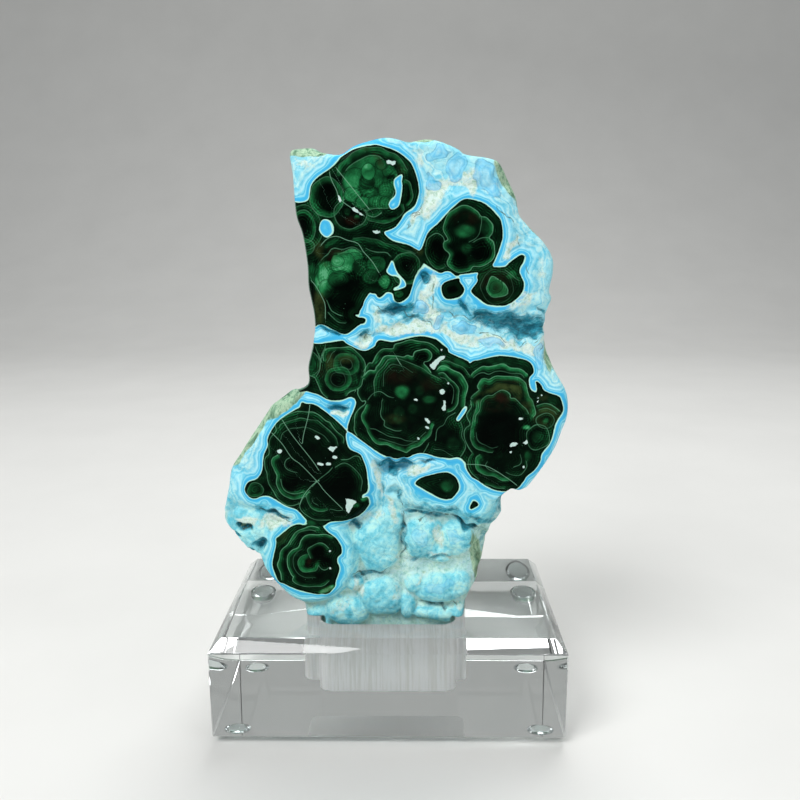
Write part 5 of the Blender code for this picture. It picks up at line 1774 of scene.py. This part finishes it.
@dataclass
class AcrylicBlock:
    """The block with its milled pocket, which is narrow in front and wide behind."""

    height: float = 29.0
    chamfer: float = 3.2
    front_y: float = -19.5
    step_y: float = -10.2
    back_y: float = 10.0
    wide: tuple = (-25.0, 22.7)
    step_radius: float = 1.5
    shoulder_radii: tuple = (3.0, 1.5)
    back_radius: float = 3.0
    edge: float = 0.35
    spot_radius: float = 3.7  # where a foot is stuck on, the plastic is continuous
    spot_depth: float = 0.05
    finish: AcrylicFinish = AcrylicFinish()

    def pocket_outline(self) -> list[tuple[float, float]]:
        """The pocket seen from above, clockwise.

        Returns:
            Its (x, y) points, the corners rounded.
        """
        left, right = ([(narrow, self.front_y, POCKET_RADIUS), (narrow, self.step_y, self.step_radius),
                        (wide, self.step_y, shoulder), (wide, self.back_y, self.back_radius)]
                       for narrow, wide, shoulder in zip(NARROW, self.wide, self.shoulder_radii))
        corners = left + right[::-1]
        points = []
        for index, (x, y, radius) in enumerate(corners):
            corner = Vector((x, y))
            before = (Vector(corners[index - 1][:2]) - corner).normalized()
            after = (Vector(corners[(index + 1) % len(corners)][:2]) - corner).normalized()
            start, end = corner + radius * before, corner + radius * after
            centre = start + end - corner
            for turn in np.linspace(0.0, 0.5 * math.pi, 13):
                point = centre + (start - centre) * math.cos(turn) + (end - centre) * math.sin(turn)
                points.append((point.x, point.y))
        return points

    def build(self) -> bpy.types.Object:
        """Build the block in place of its plain node.

        Returns:
            The block.
        """
        rings = []
        for inset, height in ((0.0, 0.0), (0.0, self.height - self.chamfer), (self.chamfer, self.height)):
            x, y = BLOCK_WIDTH / 2 - inset, BLOCK_DEPTH / 2 - inset
            rings.append(level([(-x, -y), (x, -y), (x, y), (-x, y)], FOOT_HEIGHT + height))
        materials = [self.finish.clear(), self.finish.frosted(), self.finish.bonded()]
        block = make_object("acrylic_block", *loft(rings), materials)
        outline = self.pocket_outline()
        rings = [level(outline, height) for height in (POCKET_FLOOR, BLOCK_TOP + 5.0)]
        cutters = [self.cut(block, "pocket", rings, 1)]
        eased = block.modifiers.new("eased_edges", "BEVEL")
        eased.width = self.edge * MM
        eased.segments = 2
        eased.limit_method = "ANGLE"
        eased.angle_limit = math.radians(35)
        for place, (x, y) in foot_places().items():
            spot = circle(self.spot_radius, 48, x, y)
            rings = [level(spot, height) for height in (FOOT_HEIGHT - 1.0, FOOT_HEIGHT + self.spot_depth)]
            cutters.append(self.cut(block, "spot_" + place, rings, 2))
        graph = bpy.context.evaluated_depsgraph_get()
        cut_mesh = bpy.data.meshes.new_from_object(block.evaluated_get(graph))
        block.modifiers.clear()
        block.data = cut_mesh
        for cutter in cutters:
            bpy.data.objects.remove(cutter)
        block.data.shade_smooth()
        block.data.set_sharp_from_angle(angle=math.radians(20))
        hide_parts("stand_block")
        log.info("block: %d faces", len(block.data.polygons))
        return block

    @staticmethod
    def cut(block: bpy.types.Object, name: str, rings: Sequence[Array], slot: int) -> bpy.types.Object:
        """Cut a solid out of the block.

        Args:
            block: The block.
            name: What the cut makes.
            rings: The solid that is cut away.
            slot: Which of the block's materials the cut faces wear.

        Returns:
            The cutter, which has to stay until the cut is applied.
        """
        cutter = make_object(name + "_cutter", *loft(rings), block.data.materials, None)
        for face in cutter.data.polygons:
            face.material_index = slot
        sunk = block.modifiers.new(name, "BOOLEAN")
        sunk.operation = "DIFFERENCE"
        sunk.solver = "EXACT"
        sunk.object = cutter
        return cutter


@dataclass
class Bumpers:
    """The four domed feet under the block's corners."""

    diameter: float = 8.0
    flat: float = 3.6
    height: float = 2.24
    rim: float = 0.12
    sides: int = 72
    rings: int = 18
    finish: BumperFinish = BumperFinish()

    def profile(self) -> list[tuple[float, float]]:
        """The turned half section.

        Returns:
            Radius and height of each ring, from the table up to the adhesive.
        """
        radius, flat = self.diameter / 2, self.flat / 2
        dome = [(flat + (radius - flat) * math.sin(turn), 0.82 * self.height * (1 - math.cos(turn)))
                for turn in np.linspace(0.0, 0.5 * math.pi, self.rings + 1)]
        return dome + [(radius, self.height - self.rim), (radius - self.rim, self.height)]

    def build(self) -> list[bpy.types.Object]:
        """Build the feet in place of their plain nodes.

        Returns:
            The four feet.
        """
        materials = [self.finish.material(), AcrylicFinish().bonded()]
        feet = []
        for place, (x, y) in foot_places().items():
            rings = [level(circle(radius, self.sides, x, y), height) for radius, height in self.profile()]
            foot = make_object("bumper_" + place, *loft(rings), materials)
            for face in foot.data.polygons:
                face.material_index = int(face.center.z > 0.999 * self.height * MM)
            foot.data.shade_smooth()
            foot.data.set_sharp_from_angle(angle=math.radians(50))
            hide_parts("foot_" + place)
            feet.append(foot)
        log.info("bumpers: %d", len(feet))
        return feet


@dataclass
class Studio:
    """The floor, the lights and the camera."""

    floor_tone: str = "d9d9d6"
    camera_place: tuple = (0.0072, -0.2352, 0.1434)
    pitch: float = 12.03  # degrees down
    yaw: float = -0.93
    roll: float = 0.32
    lens: float = 36.45

    def floor(self) -> bpy.types.Object:
        """A pale table that sweeps up behind the object.

        Returns:
            The table.
        """
        recipe = Recipe("pale_table")
        colour = recipe.mix(self.floor_tone, "e2e2df", recipe.noise(60.0, 3.0))
        material = recipe.finish(Base_Color=colour, Roughness=recipe.noise(4.0, 3.0) * 0.1 + 0.55)
        bend, top = 700.0, -0.05
        section = [(-2500.0, top)]
        section += [(bend + bend * math.sin(turn), bend * (1 - math.cos(turn)) + top)
                    for turn in np.linspace(0.0, 0.5 * math.pi, 24)]
        section += [(2 * bend, 2600.0)]
        points = [(x, y, z) for x in (-3500.0, 3500.0) for y, z in section]
        count = len(section)
        faces = [(index, index + 1, count + index + 1, count + index) for index in range(count - 1)]
        table = make_object("pale_table", points, faces, [material], None)
        table.data.shade_smooth()
        return table

    def softbox(self, name: str, place: tuple, aim: tuple, size: float, power: float) -> bpy.types.Object:
        """One square soft light.

        Args:
            name: Its name.
            place: Where it is, in metres.
            aim: What it points at, in metres.
            size: Its side, in metres.
            power: Watts.

        Returns:
            The light.
        """
        data = bpy.data.lights.new(name, "AREA")
        data.shape = "SQUARE"
        data.size = size
        data.energy = power
        light = bpy.data.objects.new(name, data)
        light.location = place
        light.rotation_euler = (Vector(aim) - Vector(place)).to_track_quat("-Z", "Y").to_euler()
        bpy.context.scene.collection.objects.link(light)
        return light

    def lights(self) -> None:
        """A pale room and three soft boxes."""
        world = bpy.data.worlds.new("pale_room")
        world.use_nodes = True
        background = world.node_tree.nodes["Background"]
        background.inputs["Color"].default_value = (0.80, 0.82, 0.84, 1.0)
        background.inputs["Strength"].default_value = 0.34
        bpy.context.scene.world = world
        middle = (0.0, 0.0, 0.09)
        self.softbox("key", (-0.45, -0.55, 0.85), middle, 0.5, 8.0)
        self.softbox("fill", (0.75, -0.45, 0.45), middle, 0.6, 1.6)
        self.softbox("top", (0.1, 0.35, 0.9), middle, 0.5, 5.0)

    def camera(self) -> bpy.types.Object:
        """The camera, in front and a little above.

        Returns:
            The camera.
        """
        pitch, yaw, roll = (math.radians(angle) for angle in (self.pitch, self.yaw, self.roll))
        ahead = Vector((math.sin(yaw) * math.cos(pitch), math.cos(yaw) * math.cos(pitch), -math.sin(pitch)))
        level = Vector((math.cos(yaw), -math.sin(yaw), 0.0))
        down = ahead.cross(level)
        right = math.cos(roll) * level + math.sin(roll) * down
        lower = -math.sin(roll) * level + math.cos(roll) * down
        data = bpy.data.cameras.new("camera")
        data.lens = self.lens
        data.sensor_width = 36.0
        data.clip_start = 0.01
        data.clip_end = 50.0
        camera = bpy.data.objects.new("camera", data)
        axes = Matrix((right, -lower, -ahead)).transposed().to_4x4()
        camera.matrix_world = Matrix.Translation(self.camera_place) @ axes
        bpy.context.scene.collection.objects.link(camera)
        bpy.context.scene.camera = camera
        return camera

    def build(self) -> None:
        """Set the studio up."""
        self.floor()
        self.lights()
        self.camera()
        bpy.context.scene.view_settings.view_transform = "Standard"
        log.info("studio ready")


def main() -> None:
    """Build every piece in order."""
    logging.basicConfig(level=logging.INFO, format="%(name)s: %(message)s")
    Stone().build()
    AcrylicBlock().build()
    Bumpers().build()
    Studio().build()
    bpy.context.view_layer.update()


if __name__ == "__main__":
    main()
